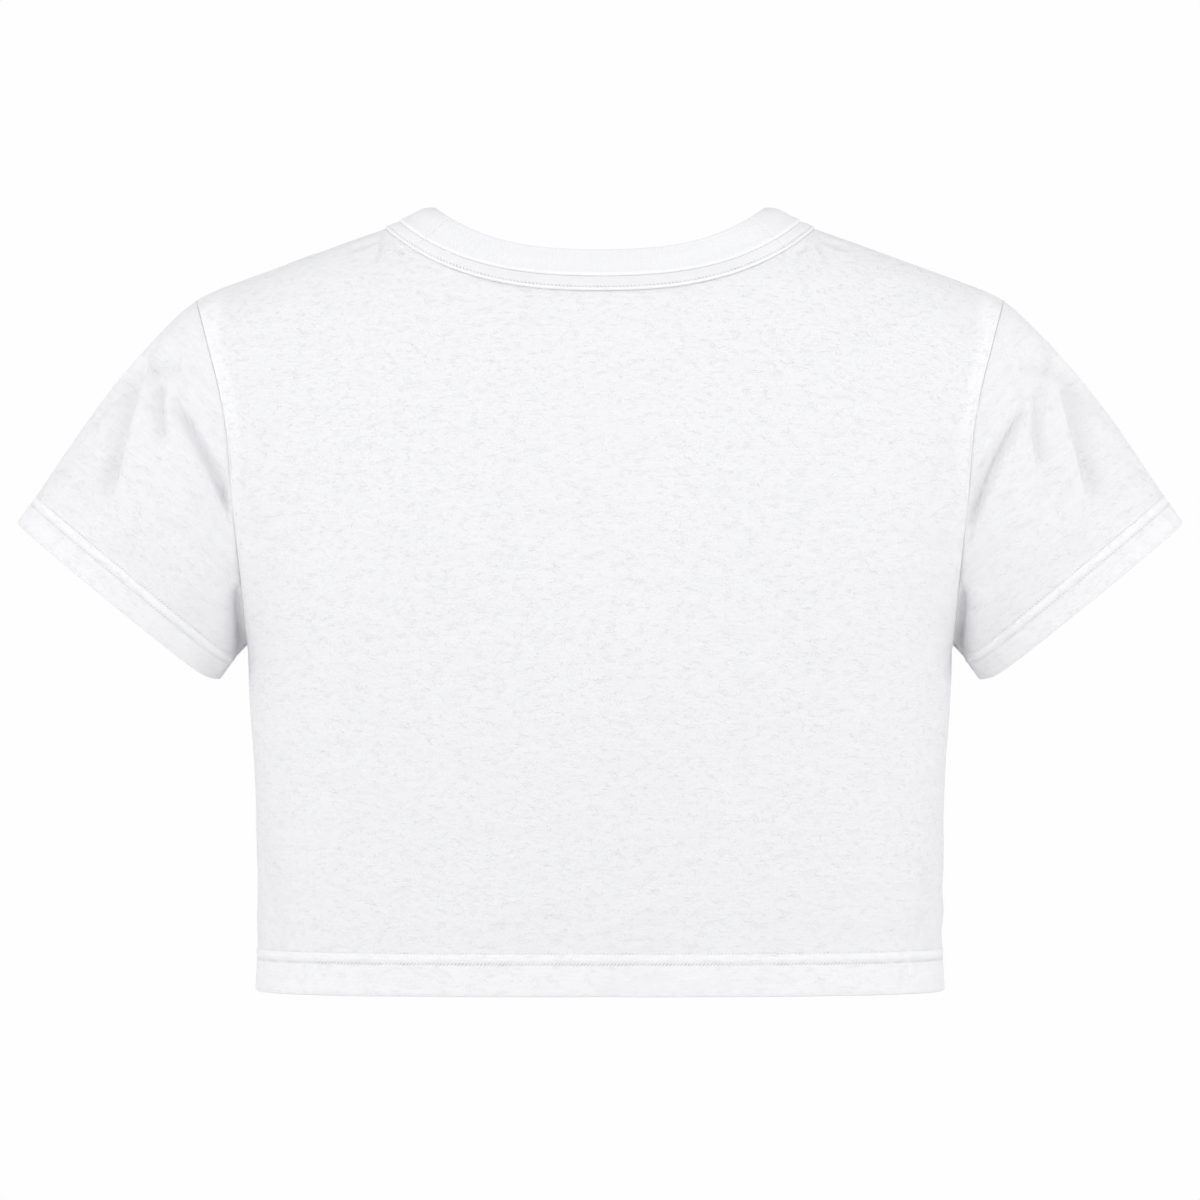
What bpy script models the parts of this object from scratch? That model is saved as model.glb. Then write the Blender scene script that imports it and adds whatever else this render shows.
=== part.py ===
"""Crop top: a short, boxy T-shirt that keeps the hollow form of a worn one.

Metres, +Z up. The origin lies between the wearer's shoulders, level with the sides of the neck.
+Y is the back, -Y the front, +X the wearer's left. Every piece is a thin wall: its outer points come
from the section tables below, and its inner points lie one cloth thickness inside them.
"""
import math

import bpy
import numpy as np

# ---- Cloth ----------------------------------------------------------------------------------------
CLOTH = 0.0013          # wall of the jersey
HEM_WALL = 0.0024       # wall where a hem is turned up inside
HEM_STEP = 0.0015       # the wall thins from one to the other over this height
SEAM_GAP = 0.0004       # space between two sewn pieces
LAY_GAP = 0.0003        # space between the neck strip and the panel under it
WHITE = (0.93, 0.93, 0.945, 1.0)

# ---- Body -----------------------------------------------------------------------------------------
HEM_HEIGHT = -0.3780
BODY_HEM = 0.0210       # depth of the turned hem
UNDERARM_HEIGHT = -0.2075
UNDERARM_DIP = 0.030    # how far the row through the underarms sinks at the middle of a panel

# height, half width, depth of the back, depth of the front, squareness
BODY_SECTIONS = (
    (-0.3780, 0.1714, 0.0950, 0.1020, 2.90),
    (-0.3500, 0.1702, 0.0960, 0.1035, 2.75),
    (-0.3150, 0.1705, 0.0975, 0.1055, 2.60),
    (-0.2650, 0.1716, 0.0990, 0.1080, 2.45),
    (-0.2350, 0.1736, 0.1000, 0.1090, 2.38),
    (-0.2075, 0.1745, 0.1005, 0.1090, 2.35),
)

# ---- Shoulders and armholes -----------------------------------------------------------------------
SHOULDER_TIP = 0.2000   # half the width between the tops of the armholes
SHOULDER_SLOPE = 0.385  # fall for each metre outwards, far from the neck
SHOULDER_ROUND = 0.050  # over the neck hole the shoulder line would round off within this half width
ARMHOLE_DEPTH = 0.0560  # half the armhole's width from front to back
SEAM_SET_BACK = 0.0120  # how far behind the ridge the shoulder seam meets the armhole
SEAM_STRAIGHT = 0.1150  # out to this half width the shoulder seam runs along the ridge
SHOULDER_BULGE = 0.0080  # extra fullness over the shoulder blades and the chest
COLUMN_RISE = 0.9       # how far a column of the panel runs straight up before it bends
COLUMN_SPREAD = 1.5     # how strongly one beside the armhole leaves outwards
COLUMN_SPREAD_REACH = 8     # how quickly that fades towards the middle
COLUMN_ARCH = 0.8       # how broadly a column arches over the shoulder line at the neck
ARMHOLE_ARCH = {"back": 0.35, "front": 0.80}    # how much more broadly it does so at the armhole
ARMHOLE_REACH = 6       # how quickly the armhole's own shape fades towards the middle

# height, half width of the armhole seam
ARMHOLE_LINE = (
    (-0.2075, 0.1745),
    (-0.1730, 0.1766),
    (-0.1400, 0.1798),
    (-0.1010, 0.1832),
    (-0.0838, 0.1865),
    (-0.0615, 0.1925),
    (-0.0353, 0.2000),
)

# ---- Neck -----------------------------------------------------------------------------------------
NECK_HALF_WIDTH = 0.0992
NECK_SIDE_HEIGHT = 0.0010   # height of the panels' shoulder line at the neck seam
STRIP_WIDTH = 0.0075
STRIP_WALL = 0.0011
RIB_WALL = 0.0024
RIB_LIFT = 0.0011       # how far the rib's foot stands out from the panel
RIB_BOW = 0.0005        # how far its face bows out between foot and fold
RIB_CORNER_LEAN = 64.0  # lean of the rib over the shoulder, in degrees from upright
RIB_CORNER_WIDTH = 0.0175
JOINT_COLUMN = 6        # neck column, counted from the middle of the back, where the rib is joined

# side: how far down from the shoulder line to the underarm row the neckline dips at its middle,
# the squareness of its curve, the lean of the rib in degrees, and the rib's width
NECK_SIDES = {
    "back": (0.345, 0.97, 33.0, 0.0165),
    "front": (0.520, 0.85, 40.0, 0.0168),
}

# ---- Sleeves --------------------------------------------------------------------------------------
SLEEVE_HEM = 0.0165     # depth of the turned hem
CUFF_CENTRE = (0.2399, 0.0, -0.1874)
CUFF_HALF_LONG = (0.0494, 0.0, 0.0403)  # from the centre to the outer corner
CUFF_HALF_DEPTH = 0.0420
CUFF_CURL = 0.0030      # the inner corner of the cuff curls up by this much
CAP_START = (0.740, 0.170, -0.670)      # way the cloth leaves the armhole: out, to the back, up
CAP_SPEED = 1.3         # how far it keeps to that way
CUFF_END = (0.605, 0.0, -0.796)         # way it arrives at the cuff

# Largest folds, as troughs in the wall, seen from the back or the front.
# start x, start z, end x, end z, sideways bow, half width, depth
SLEEVE_FOLDS = {
    "back": (
        (0.2113, -0.0873, 0.1815, -0.1500, 0.0025, 0.0075, 0.0050),
        (0.2287, -0.0694, 0.2455, -0.1400, 0.0030, 0.0110, 0.0042),
        (0.2549, -0.1027, 0.2688, -0.1250, 0.0000, 0.0080, 0.0018),
    ),
    "front": (
        (0.2080, -0.0830, 0.1830, -0.1440, 0.0030, 0.0085, 0.0044),
        (0.2330, -0.0800, 0.2440, -0.1380, 0.0020, 0.0120, 0.0036),
    ),
}
BODY_FOLDS = {
    "back": (
        (0.0893, -0.1800, 0.1265, -0.3345, 0.0060, 0.0180, 0.0024),
        (-0.1010, -0.2150, -0.1280, -0.3300, -0.0040, 0.0200, 0.0014),
    ),
    "front": (
        (-0.0860, -0.1900, -0.1200, -0.3400, -0.0060, 0.0190, 0.0024),
        (0.1020, -0.2000, 0.1200, -0.3200, 0.0040, 0.0200, 0.0016),
    ),
}

# ---- Fineness of the walls ------------------------------------------------------------------------
HALF_COLUMNS = 20       # columns from the middle of a panel to its side
NECK_COLUMNS = 9        # of those, the ones that end at the neckline
NECK_FOOT = 0.62        # share of the half width that they take up at the hem
BODY_ROWS = 6           # rows between the top of the hem and the underarm
ARMHOLE_ROWS = 14
BAND_ROWS = 2           # rows under the neck strip
SLEEVE_ROWS = 9         # rows between the armhole and the top of the sleeve's hem

SIDES = {"back": 1.0, "front": -1.0}


# ---- Curves and small helpers -----------------------------------------------------------------------
def hermite(start, leave, end, arrive, t):
    """A cubic from start to end that leaves and arrives with the given speeds."""
    return ((1 + 2 * t) * (1 - t) ** 2 * start + t * (1 - t) ** 2 * leave
            + t * t * (3 - 2 * t) * end + t * t * (t - 1) * arrive)


def along_table(table, column, key):
    """A smooth curve through one column of a table whose first column is sorted upwards."""
    keys = np.array([row[0] for row in table])
    values = np.array([row[column] for row in table])
    slopes = np.gradient(values, keys)
    key = np.clip(key, keys[0], keys[-1])
    low = np.clip(np.searchsorted(keys, key) - 1, 0, len(keys) - 2)
    span = keys[low + 1] - keys[low]
    return hermite(values[low], slopes[low] * span, values[low + 1], slopes[low + 1] * span,
                   (key - keys[low]) / span)


def ease(t):
    """A soft step from 0 to 1."""
    t = np.clip(t, 0.0, 1.0)
    return t * t * (3 - 2 * t)


def vectors(x, y, z):
    return np.stack(np.broadcast_arrays(x, y, z), axis=-1).astype(float)


def unit(vector):
    vector = np.asarray(vector, dtype=float)
    return vector / np.linalg.norm(vector, axis=-1, keepdims=True)


def dot(a, b):
    return np.sum(a * b, axis=-1, keepdims=True)


def across(vector, axis):
    """The part of a vector that lies across a unit axis."""
    return vector - axis * dot(vector, axis)


def fold_depth(folds, x, z):
    """How deep the folds' troughs are at a place seen from the back or the front."""
    total = 0.0
    for x0, z0, x1, z1, bow, half_width, depth in folds:
        length = math.hypot(x1 - x0, z1 - z0)
        run_x, run_z = (x1 - x0) / length, (z1 - z0) / length
        t = ((x - x0) * run_x + (z - z0) * run_z) / length
        offset = (x - x0) * run_z - (z - z0) * run_x - bow * math.sin(math.pi * min(max(t, 0.0), 1.0))
        beyond = max(-t, t - 1.0, 0.0) * length
        fade = math.exp(-(beyond / half_width) ** 2) * (0.35 + 0.65 * ease(min(t, 1 - t) * 4 + 0.5))
        total += depth * fade * math.exp(-(offset / half_width) ** 2)
    return total


# ---- Body surface -----------------------------------------------------------------------------------
# A panel is a sheet with two numbers at each point: s runs from -1 to 1 between the sides, and w runs
# from 0 on the row through the underarms to 1 on the shoulder line. The neck hole is cut from that sheet.
def ridge_height(x):
    """Height of the shoulder line, and of its smooth run across the neck hole."""
    reach = np.hypot(x, SHOULDER_ROUND) - math.hypot(NECK_HALF_WIDTH, SHOULDER_ROUND)
    return NECK_SIDE_HEIGHT - SHOULDER_SLOPE * reach


ARMHOLE_HALF_HEIGHT = (ridge_height(SHOULDER_TIP) - UNDERARM_HEIGHT) / 2
RIDGE_RADIUS = ARMHOLE_DEPTH ** 2 / ARMHOLE_HALF_HEIGHT
SEAM_TURN = math.asin(SEAM_SET_BACK / ARMHOLE_DEPTH)


def body_section(side, s, height):
    """A panel's points below the armholes."""
    half_width = along_table(BODY_SECTIONS, 1, height)
    depth = along_table(BODY_SECTIONS, 2 if side == "back" else 3, height)
    power = along_table(BODY_SECTIONS, 4, height)
    share = np.sin(s * math.pi / 2)
    y = depth * np.maximum(1 - np.abs(share) ** power, 0.0) ** (1 / power)
    return vectors(half_width * share, SIDES[side] * y, height)


def underarm_row_height(s):
    return UNDERARM_HEIGHT - UNDERARM_DIP * (1 - s ** 4)


def armhole_turn(side, w):
    """Angle round the armhole, from the underarm at w = 0 to the shoulder seam at w = 1."""
    return w * (math.pi - SIDES[side] * SEAM_TURN)


def armhole(side, w):
    """The armhole seam of the left side."""
    turn = armhole_turn(side, w)
    height = UNDERARM_HEIGHT + ARMHOLE_HALF_HEIGHT * (1 - np.cos(turn))
    return vectors(along_table(ARMHOLE_LINE, 1, height), SIDES[side] * ARMHOLE_DEPTH * np.sin(turn), height)


def ridge_x(s):
    return SHOULDER_TIP * s * (1.35 - 0.35 * s * s)


def seam_set_back(x):
    run = (np.abs(x) - SEAM_STRAIGHT) / (SHOULDER_TIP - SEAM_STRAIGHT)
    return SEAM_SET_BACK * np.maximum(run, 0.0) ** 1.5


def sheet_column(side, s, w):
    """The sheet between the underarm row and the shoulder line, before the armhole shapes its edge."""
    start = body_section(side, s, underarm_row_height(s))
    x = ridge_x(s)
    set_back = seam_set_back(x)
    end = vectors(x, set_back, ridge_height(x) - set_back ** 2 / (2 * RIDGE_RADIUS))
    length = np.linalg.norm(end - start, axis=-1, keepdims=True)
    leave = unit(vectors(0.0, SIDES[side] * COLUMN_SPREAD * np.abs(s) ** COLUMN_SPREAD_REACH, 1.0))
    arrive = unit(vectors(0.0, -SIDES[side], SIDES[side] * set_back / RIDGE_RADIUS))
    t = np.asarray(w, dtype=float)[..., None]
    arch = COLUMN_ARCH + ARMHOLE_ARCH[side] * s[..., None] ** 4
    point = hermite(start, leave * length * COLUMN_RISE, end, arrive * length * arch, t)
    bulge = SHOULDER_BULGE * (4 * w * (1 - w) * np.sin(math.pi * s)) ** 2
    return point + vectors(0.0, SIDES[side] * bulge, 0.0)


def sheet(side, s, w):
    """A panel's points above the underarm row."""
    s = np.asarray(s, dtype=float)
    w = np.asarray(w, dtype=float)
    mirror = vectors(np.where(s < 0, -1.0, 1.0), 1.0, 1.0)
    shift = armhole(side, w) - sheet_column(side, np.ones_like(s), w)
    return sheet_column(side, s, w) + mirror * shift * np.abs(s)[..., None] ** ARMHOLE_REACH


def sheet_slopes(side, s, w, step=1e-4):
    """How the sheet's points move with s and with w."""
    return ((sheet(side, s + step, w) - sheet(side, s - step, w)) / (2 * step),
            (sheet(side, s, w + step) - sheet(side, s, w - step)) / (2 * step))


def sheet_share(half_width):
    """The s at which the shoulder line has a given half width."""
    shares = np.linspace(0.0, 1.0, 2001)
    return float(np.interp(half_width, ridge_x(shares), shares))


# ---- Neck curves ------------------------------------------------------------------------------------
def neck_cut(side, turn):
    """Where the neckline runs on the sheet, turn going from -90 to 90 degrees through the middle."""
    dip, squareness = NECK_SIDES[side][:2]
    corner = sheet_share(NECK_HALF_WIDTH)
    return corner * np.sin(turn), 1 - dip * np.maximum(np.cos(turn), 0.0) ** squareness


def neck_frame(side, turn):
    """The neckline's points, and unit vectors along it, down the panel and out of it."""
    step = 1e-3
    s, w = neck_cut(side, turn)
    base = sheet(side, s, w)
    by_s, by_w = sheet_slopes(side, s, w)
    out = unit(np.cross(by_w, by_s) * SIDES[side])
    ahead = sheet(side, *neck_cut(side, turn + step))
    behind = sheet(side, *neck_cut(side, turn - step))
    at_corner = (np.abs(turn) > math.pi / 2 - 1e-6)[..., None]
    over = vectors(0.0, -SIDES[side] * np.sign(turn), 0.0)
    tangent = unit(across(np.where(at_corner, over, ahead - behind), out))
    down = np.cross(out, tangent) * SIDES[side]
    return base, tangent, down, out


def neck_band(side, turn, share):
    """Points of the sheet under the neck strip: share 0 on the neckline, 1 on the strip's lower edge."""
    s, w = neck_cut(side, turn)
    base, _, down, _ = neck_frame(side, turn)
    target = base + down * STRIP_WIDTH * share
    for _ in range(6):
        by_s, by_w = sheet_slopes(side, s, w)
        miss = target - sheet(side, s, w)
        ss, sw, ww = (dot(a, b)[..., 0] for a, b in ((by_s, by_s), (by_s, by_w), (by_w, by_w)))
        ms, mw = dot(miss, by_s)[..., 0], dot(miss, by_w)[..., 0]
        spread = ss * ww - sw * sw
        s = s + (ms * ww - mw * sw) / spread
        w = w + (mw * ss - ms * sw) / spread
    edge = sheet_share(NECK_HALF_WIDTH + STRIP_WIDTH / math.hypot(1.0, SHOULDER_SLOPE))
    corner = sheet_share(NECK_HALF_WIDTH)
    at_corner = np.abs(turn) > math.pi / 2 - 1e-6
    s = np.where(at_corner, np.sign(turn) * (corner + (edge - corner) * share), s)
    return s, np.where(at_corner, 1.0, w)


# ---- Sleeve surface ---------------------------------------------------------------------------------
def cuff(turn):
    """The sleeve's lower edge, turn 0 at the inner corner and 180 degrees at the outer one."""
    curl = CUFF_CURL * np.exp(-(np.sin(turn / 2) / 0.18) ** 2)
    depth = CUFF_HALF_DEPTH * np.sign(np.sin(turn)) * np.abs(np.sin(turn)) ** 0.9
    ring = np.array(CUFF_CENTRE) - np.array(CUFF_HALF_LONG) * np.cos(turn)[..., None]
    return ring + vectors(0.0, depth, 0.0) - np.array(CUFF_END) * curl[..., None]


def sleeve_points(start, turn, t):
    """The left sleeve's points on the way from the armhole to the cuff."""
    end = cuff(turn)
    length = np.linalg.norm(end - start, axis=-1, keepdims=True)
    leave = unit(vectors(CAP_START[0], CAP_START[1] * np.sin(turn), CAP_START[2]))
    t = np.asarray(t, dtype=float)[..., None]
    return hermite(start, leave * length * CAP_SPEED, end, np.array(CUFF_END) * length, t)


# ---- Walls ------------------------------------------------------------------------------------------
class Wall:
    """The outer points and faces of one piece, with the thickness of its cloth at each point."""

    def __init__(self, name):
        self.name = name
        self.points = []
        self.thickness = []
        self.faces = []

    def add_row(self, points, thickness=CLOTH):
        first = len(self.points)
        self.points += list(points)
        self.thickness += [thickness] * len(points)
        return list(range(first, len(self.points)))

    def add_faces(self, rows, closed=False):
        """Faces between rows of point numbers."""
        for low, high in zip(rows, rows[1:]):
            count = len(low)
            for i in range(count if closed else count - 1):
                j = (i + 1) % count
                self.faces.append((low[i], low[j], high[j], high[i]))

    def flip(self):
        self.faces = [tuple(reversed(face)) for face in self.faces]

    def mirrored(self, name):
        other = Wall(name)
        other.points = [point * np.array([-1.0, 1.0, 1.0]) for point in self.points]
        other.thickness = list(self.thickness)
        other.faces = list(self.faces)
        other.flip()
        return other

    def normals(self):
        total = np.zeros((len(self.points), 3))
        for a, b, c, d in self.faces:
            total[[a, b, c, d]] += np.cross(self.points[c] - self.points[a], self.points[d] - self.points[b])
        return unit(total)

    def rim(self):
        """The edges with a face on one side only, as a table from each start to its end."""
        edges = [(face[i], face[(i + 1) % 4]) for face in self.faces for i in range(4)]
        have = set(edges)
        return {a: b for a, b in edges if (b, a) not in have}


def place_key(point):
    return tuple(int(round(value * 1e5)) for value in point)


def sink_folds(wall, folds):
    """Press the folds into the outer points, away from the rim."""
    fixed = wall.rim()
    normals = wall.normals()
    for i, point in enumerate(wall.points):
        if i not in fixed:
            side = "back" if point[1] > 0 else "front"
            wall.points[i] = point - normals[i] * fold_depth(folds[side], point[0], point[2])


def open_seams(walls):
    """Draw each piece's rim back from its neighbours and give both rims one common direction."""
    normals = {wall.name: wall.normals() for wall in walls}
    meetings = {}
    for wall in walls:
        for i in wall.rim():
            meetings.setdefault(place_key(wall.points[i]), []).append(normals[wall.name][i])
    for wall in walls:
        rim = wall.rim()
        before = {end: start for start, end in rim.items()}
        inward = {i: np.zeros(3) for i in rim}
        for face in wall.faces:
            middle = sum(wall.points[i] for i in face) / 4
            for i in face:
                if i in inward:
                    inward[i] = inward[i] + middle - wall.points[i]
        moved = {}
        for i, ahead in rim.items():
            meeting = meetings[place_key(wall.points[i])]
            if len(meeting) < 2:
                continue
            common = unit(sum(meeting))
            normals[wall.name][i] = common
            to_next = unit(wall.points[ahead] - wall.points[i])
            to_last = unit(wall.points[before[i]] - wall.points[i])
            way = across(inward[i], common)
            straight = np.dot(to_next, to_last) < -0.7
            if straight:
                way = across(way, unit(across(to_next - to_last, common)))
            moved[i] = wall.points[i] + unit(way) * SEAM_GAP * (0.5 if straight else 0.8)
        for i, point in moved.items():
            wall.points[i] = point
    return normals


def finish_piece(wall, normals, collection):
    """Close a wall with its inner points and its rim, and make it an object."""
    count = len(wall.points)
    inner = [point - normal * thick for point, normal, thick in zip(wall.points, normals, wall.thickness)]
    faces = list(wall.faces)
    faces += [tuple(i + count for i in reversed(face)) for face in wall.faces]
    faces += [(b, a, a + count, b + count) for a, b in wall.rim().items()]
    return add_object(wall.name, wall.points + inner, faces, collection)


def add_object(name, points, faces, collection):
    mesh = bpy.data.meshes.new(name)
    mesh.from_pydata([tuple(point) for point in points], [], faces)
    mesh.validate()
    mesh.shade_smooth()
    mesh.set_sharp_from_angle(angle=math.radians(50))
    mesh.materials.append(cloth_material(name))
    piece = bpy.data.objects.new(name, mesh)
    collection.objects.link(piece)
    return piece


def cloth_material(name):
    material = bpy.data.materials.new(name + "_cloth")
    material.use_nodes = True
    shader = material.node_tree.nodes["Principled BSDF"]
    shader.inputs["Base Color"].default_value = WHITE
    shader.inputs["Roughness"].default_value = 0.9
    shader.inputs["Metallic"].default_value = 0.0
    return material


# ---- Pieces -----------------------------------------------------------------------------------------
def make_panel(side):
    """Back or front: body rows, rows beside the armholes, and the band under the neck strip."""
    wall = Wall(side + "_panel")
    columns = np.arange(-HALF_COLUMNS, HALF_COLUMNS + 1)
    s = np.interp(columns, (-HALF_COLUMNS, -NECK_COLUMNS, NECK_COLUMNS, HALF_COLUMNS),
                  (-1.0, -NECK_FOOT, NECK_FOOT, 1.0))
    hem_top = HEM_HEIGHT + BODY_HEM
    rows = [wall.add_row(body_section(side, s, np.full_like(s, HEM_HEIGHT)), HEM_WALL),
            wall.add_row(body_section(side, s, np.full_like(s, hem_top)), HEM_WALL)]
    for share in np.arange(BODY_ROWS + 1) / BODY_ROWS:
        height = (hem_top + HEM_STEP) * (1 - share) + underarm_row_height(s) * share
        rows.append(wall.add_row(body_section(side, s, height)))
    turn = np.arange(-NECK_COLUMNS, NECK_COLUMNS + 1) / NECK_COLUMNS * math.pi / 2
    neck = slice(HALF_COLUMNS - NECK_COLUMNS, HALF_COLUMNS + NECK_COLUMNS + 1)
    top_s, top_w = np.sign(s), np.ones_like(s)
    top_s[neck], top_w[neck] = neck_band(side, turn, 1.0)
    shoulder = np.arange(1, HALF_COLUMNS - NECK_COLUMNS + 1) / (HALF_COLUMNS - NECK_COLUMNS)
    edge = top_s[neck][-1]
    top_s[neck.stop:] = edge + (1 - edge) * shoulder
    top_s[:neck.start] = -top_s[neck.stop:][::-1]
    for share in np.arange(1, ARMHOLE_ROWS + 1) / ARMHOLE_ROWS:
        rows.append(wall.add_row(sheet(side, s + (top_s - s) * share ** 2, top_w * share)))
    wall.add_faces(rows)
    band = [rows[-1][neck]]
    for share in np.arange(1, BAND_ROWS + 1) / BAND_ROWS:
        band.append(wall.add_row(sheet(side, *neck_band(side, turn, 1 - share))))
    wall.add_faces(band)
    if side == "back":
        wall.flip()
    sink_folds(wall, BODY_FOLDS)
    return wall


def make_sleeve():
    """The left sleeve, ring by ring from the armhole to the cuff."""
    wall = Wall("sleeve_left")
    up = np.arange(ARMHOLE_ROWS + 1) / ARMHOLE_ROWS
    down = up[-2:0:-1]
    start = np.concatenate([armhole("back", up), armhole("front", down)])
    turn = np.concatenate([armhole_turn("back", up), -armhole_turn("front", down)])
    hem = np.minimum(SLEEVE_HEM / np.linalg.norm(cuff(turn) - start, axis=-1), 0.66)
    rings = [wall.add_row(sleeve_points(start, turn, (1 - hem) * share))
             for share in np.arange(SLEEVE_ROWS + 1) / SLEEVE_ROWS]
    hem_shares = (1 - HEM_STEP / SLEEVE_HEM, 0.0)
    rings += [wall.add_row(sleeve_points(start, turn, 1 - hem * share), HEM_WALL) for share in hem_shares]
    wall.add_faces(rings, closed=True)
    sink_folds(wall, SLEEVE_FOLDS)
    return wall


def neck_stations(piece):
    """Neck columns of the rib and strip: the back piece ends behind the shoulders, the front wraps over."""
    step = math.pi / 2 / NECK_COLUMNS
    if piece == "back":
        return [("back", k * step) for k in range(-JOINT_COLUMN, JOINT_COLUMN + 1)]
    left = [("back", k * step) for k in range(JOINT_COLUMN, NECK_COLUMNS + 1)]
    front = [("front", k * step) for k in range(NECK_COLUMNS - 1, -NECK_COLUMNS, -1)]
    right = [("back", -k * step) for k in range(NECK_COLUMNS, JOINT_COLUMN - 1, -1)]
    return left + front + right


def sweep_section(name, piece, section, collection):
    """A closed section carried round its stretch of the neckline, with flat ends."""
    points = []
    rings = []
    for side, turn in neck_stations(piece):
        ring = section(side, turn)
        rings.append(list(range(len(points), len(points) + len(ring))))
        points += ring
    for ring, beside in ((rings[0], rings[1]), (rings[-1], rings[-2])):
        for i, j in zip(ring, beside):
            points[i] = points[i] + unit(points[j] - points[i]) * SEAM_GAP / 2
    faces = []
    for near, far in zip(rings, rings[1:]):
        for i in range(len(near)):
            j = (i + 1) % len(near)
            faces.append((near[i], near[j], far[j], far[i]))
    faces.append(tuple(reversed(rings[0])))
    faces.append(tuple(rings[-1]))
    return add_object(name, points, faces, collection)


def strip_section(side, turn):
    """The strip lies on the panel's band, a little short of the rib's seam."""
    turn = np.array(turn)
    _, _, down, out = neck_frame(side, turn)
    edge = [sheet(side, *neck_band(side, turn, share)) for share in (1.0, 0.5, 0.0)]
    edge[2] = edge[2] + down * LAY_GAP
    over = [point + out * (LAY_GAP + STRIP_WALL) for point in edge]
    under = [point + out * LAY_GAP for point in reversed(edge)]
    return over + under


def rib_section(side, turn):
    """A folded band, standing on the neckline and rounded along its upper edge."""
    base, tangent, down, out = neck_frame(side, np.array(turn))
    lean_middle, width_middle = NECK_SIDES[side][2:]
    share = abs(math.sin(turn))
    lean = math.radians(lean_middle + (RIB_CORNER_LEAN - lean_middle) * share ** 6)
    width = width_middle + (RIB_CORNER_WIDTH - width_middle) * share ** 2
    plan = unit(np.array([-tangent[1], tangent[0], 0.0])) * SIDES[side]
    up = unit(across(np.array([0.0, 0.0, math.cos(lean)]) - plan * math.sin(lean), tangent))
    face = unit(across(out, up))
    radius = RIB_WALL / 2
    foot = base + up * SEAM_GAP
    outer = [base + up * width * t + face * (RIB_LIFT + RIB_BOW * math.sin(math.pi * t)) for t in (0.33, 0.66)]
    middle = base + up * (width - radius) + face * (RIB_LIFT - radius)
    bend = [middle + face * radius * math.cos(a) + up * radius * math.sin(a)
            for a in np.radians((0, 45, 90, 135, 180))]
    inner = [base + up * width * t + face * (RIB_LIFT - RIB_WALL) for t in (0.66, 0.33)]
    return [foot + out * RIB_LIFT] + outer + bend + inner + [foot + out * (RIB_LIFT - RIB_WALL)]


def build():
    for old in list(bpy.data.objects):
        bpy.data.objects.remove(old, do_unlink=True)
    collection = bpy.data.collections.new("crop_top")
    bpy.context.scene.collection.children.link(collection)
    left = make_sleeve()
    walls = [make_panel("back"), make_panel("front"), left, left.mirrored("sleeve_right")]
    normals = open_seams(walls)
    for wall in walls:
        finish_piece(wall, normals[wall.name], collection)
    for piece in ("back", "front"):
        sweep_section("neck_strip_" + piece, piece, strip_section, collection)
        sweep_section("neck_rib_" + piece, piece, rib_section, collection)


build()
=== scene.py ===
"""Crop top: the looks of a short, boxy T-shirt in white slub jersey, filled out and hollow.

Metres, +Z up, +Y the back, -Y the front, +X the wearer's left. Every piece is a thin closed shell on the
form of its solid, with its seams, hems, folds and stitches made as geometry.
"""

import math

import bpy
import numpy as np
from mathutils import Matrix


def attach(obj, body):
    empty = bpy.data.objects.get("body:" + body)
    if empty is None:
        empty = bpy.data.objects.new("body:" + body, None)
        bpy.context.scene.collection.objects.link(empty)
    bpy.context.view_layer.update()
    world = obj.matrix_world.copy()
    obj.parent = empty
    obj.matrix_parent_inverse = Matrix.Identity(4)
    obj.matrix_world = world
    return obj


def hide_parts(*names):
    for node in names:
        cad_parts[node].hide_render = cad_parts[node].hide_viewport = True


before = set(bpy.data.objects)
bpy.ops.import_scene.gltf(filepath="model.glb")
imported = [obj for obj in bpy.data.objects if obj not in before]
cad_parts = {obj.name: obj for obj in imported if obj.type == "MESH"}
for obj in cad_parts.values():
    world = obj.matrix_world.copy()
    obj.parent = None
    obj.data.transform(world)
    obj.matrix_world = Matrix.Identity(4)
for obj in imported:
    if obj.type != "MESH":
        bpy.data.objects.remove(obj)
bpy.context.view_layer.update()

# ---- Cloth ----
CLOTH = 0.001  # wall of one layer
HEM_CLOTH = 0.0021  # wall where a hem is turned up inside
SEAM_GAP = 0.0001  # space between two sewn edges
SEWN_BULGE = 0.00014  # how far a sewn edge is rounded
GROOVE = 0.00014  # how far the cloth dips into a seam
GROOVE_WIDTH = 0.0016
ALLOWANCE = 0.013  # width of the raised band over a seam's folded allowance
ALLOWANCE_LIFT = 0.0002
SIDE_DRAW = 0.0005  # how far the sides draw in above the hem
HEM_DRAW = 0.0009  # and further at the hem
DRAW_REACH = 0.03
HEM_LIFT = 0.0002  # how far a turned hem stands out
HEM_PUFF = 0.0006  # and the band between its stitch rows
STITCH_SINK = 0.000084  # how deep a stitch row is drawn in
FOLD_FADE = 0.006  # distance from a seam over which folds fade out
WAVE_FADE = 0.012  # and wider waves
BROAD_WAVE = 0.00035  # height of the cloth's own wide waves, and how long they are across and up
BROAD_LENGTHS = (0.16, 0.13)
SLEEVE_WAVE = 0.00025
SLEEVE_WAVE_LENGTH = 0.09
SLEEVE_WAVE_FADE = 0.02  # distance from the seam over which they fade out
LAID_FLAT = 0.0002  # the most that cloth dips where the strip covers it
FOLD_END = 0.2  # share of its depth that a fold still has at its ends
RIDGE_PLACES = (1.7, -1.7)  # of the ridges beside a fold, in its half widths
RIDGE_WIDTH = 0.9
BAND_START = (0.0002, 0.001)  # where the band beside a seam begins, and over what length
BAND_FADE = 0.0055
LOW_GROOVE = 0.0006  # half widths of the grooves at a hem's lower and upper stitch rows
HIGH_GROOVE = 0.00045
PLY_BLEND = 0.0006  # width over which whiteness changes at a hem's stitch row
STITCH_UNEVEN = 0.35
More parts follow.
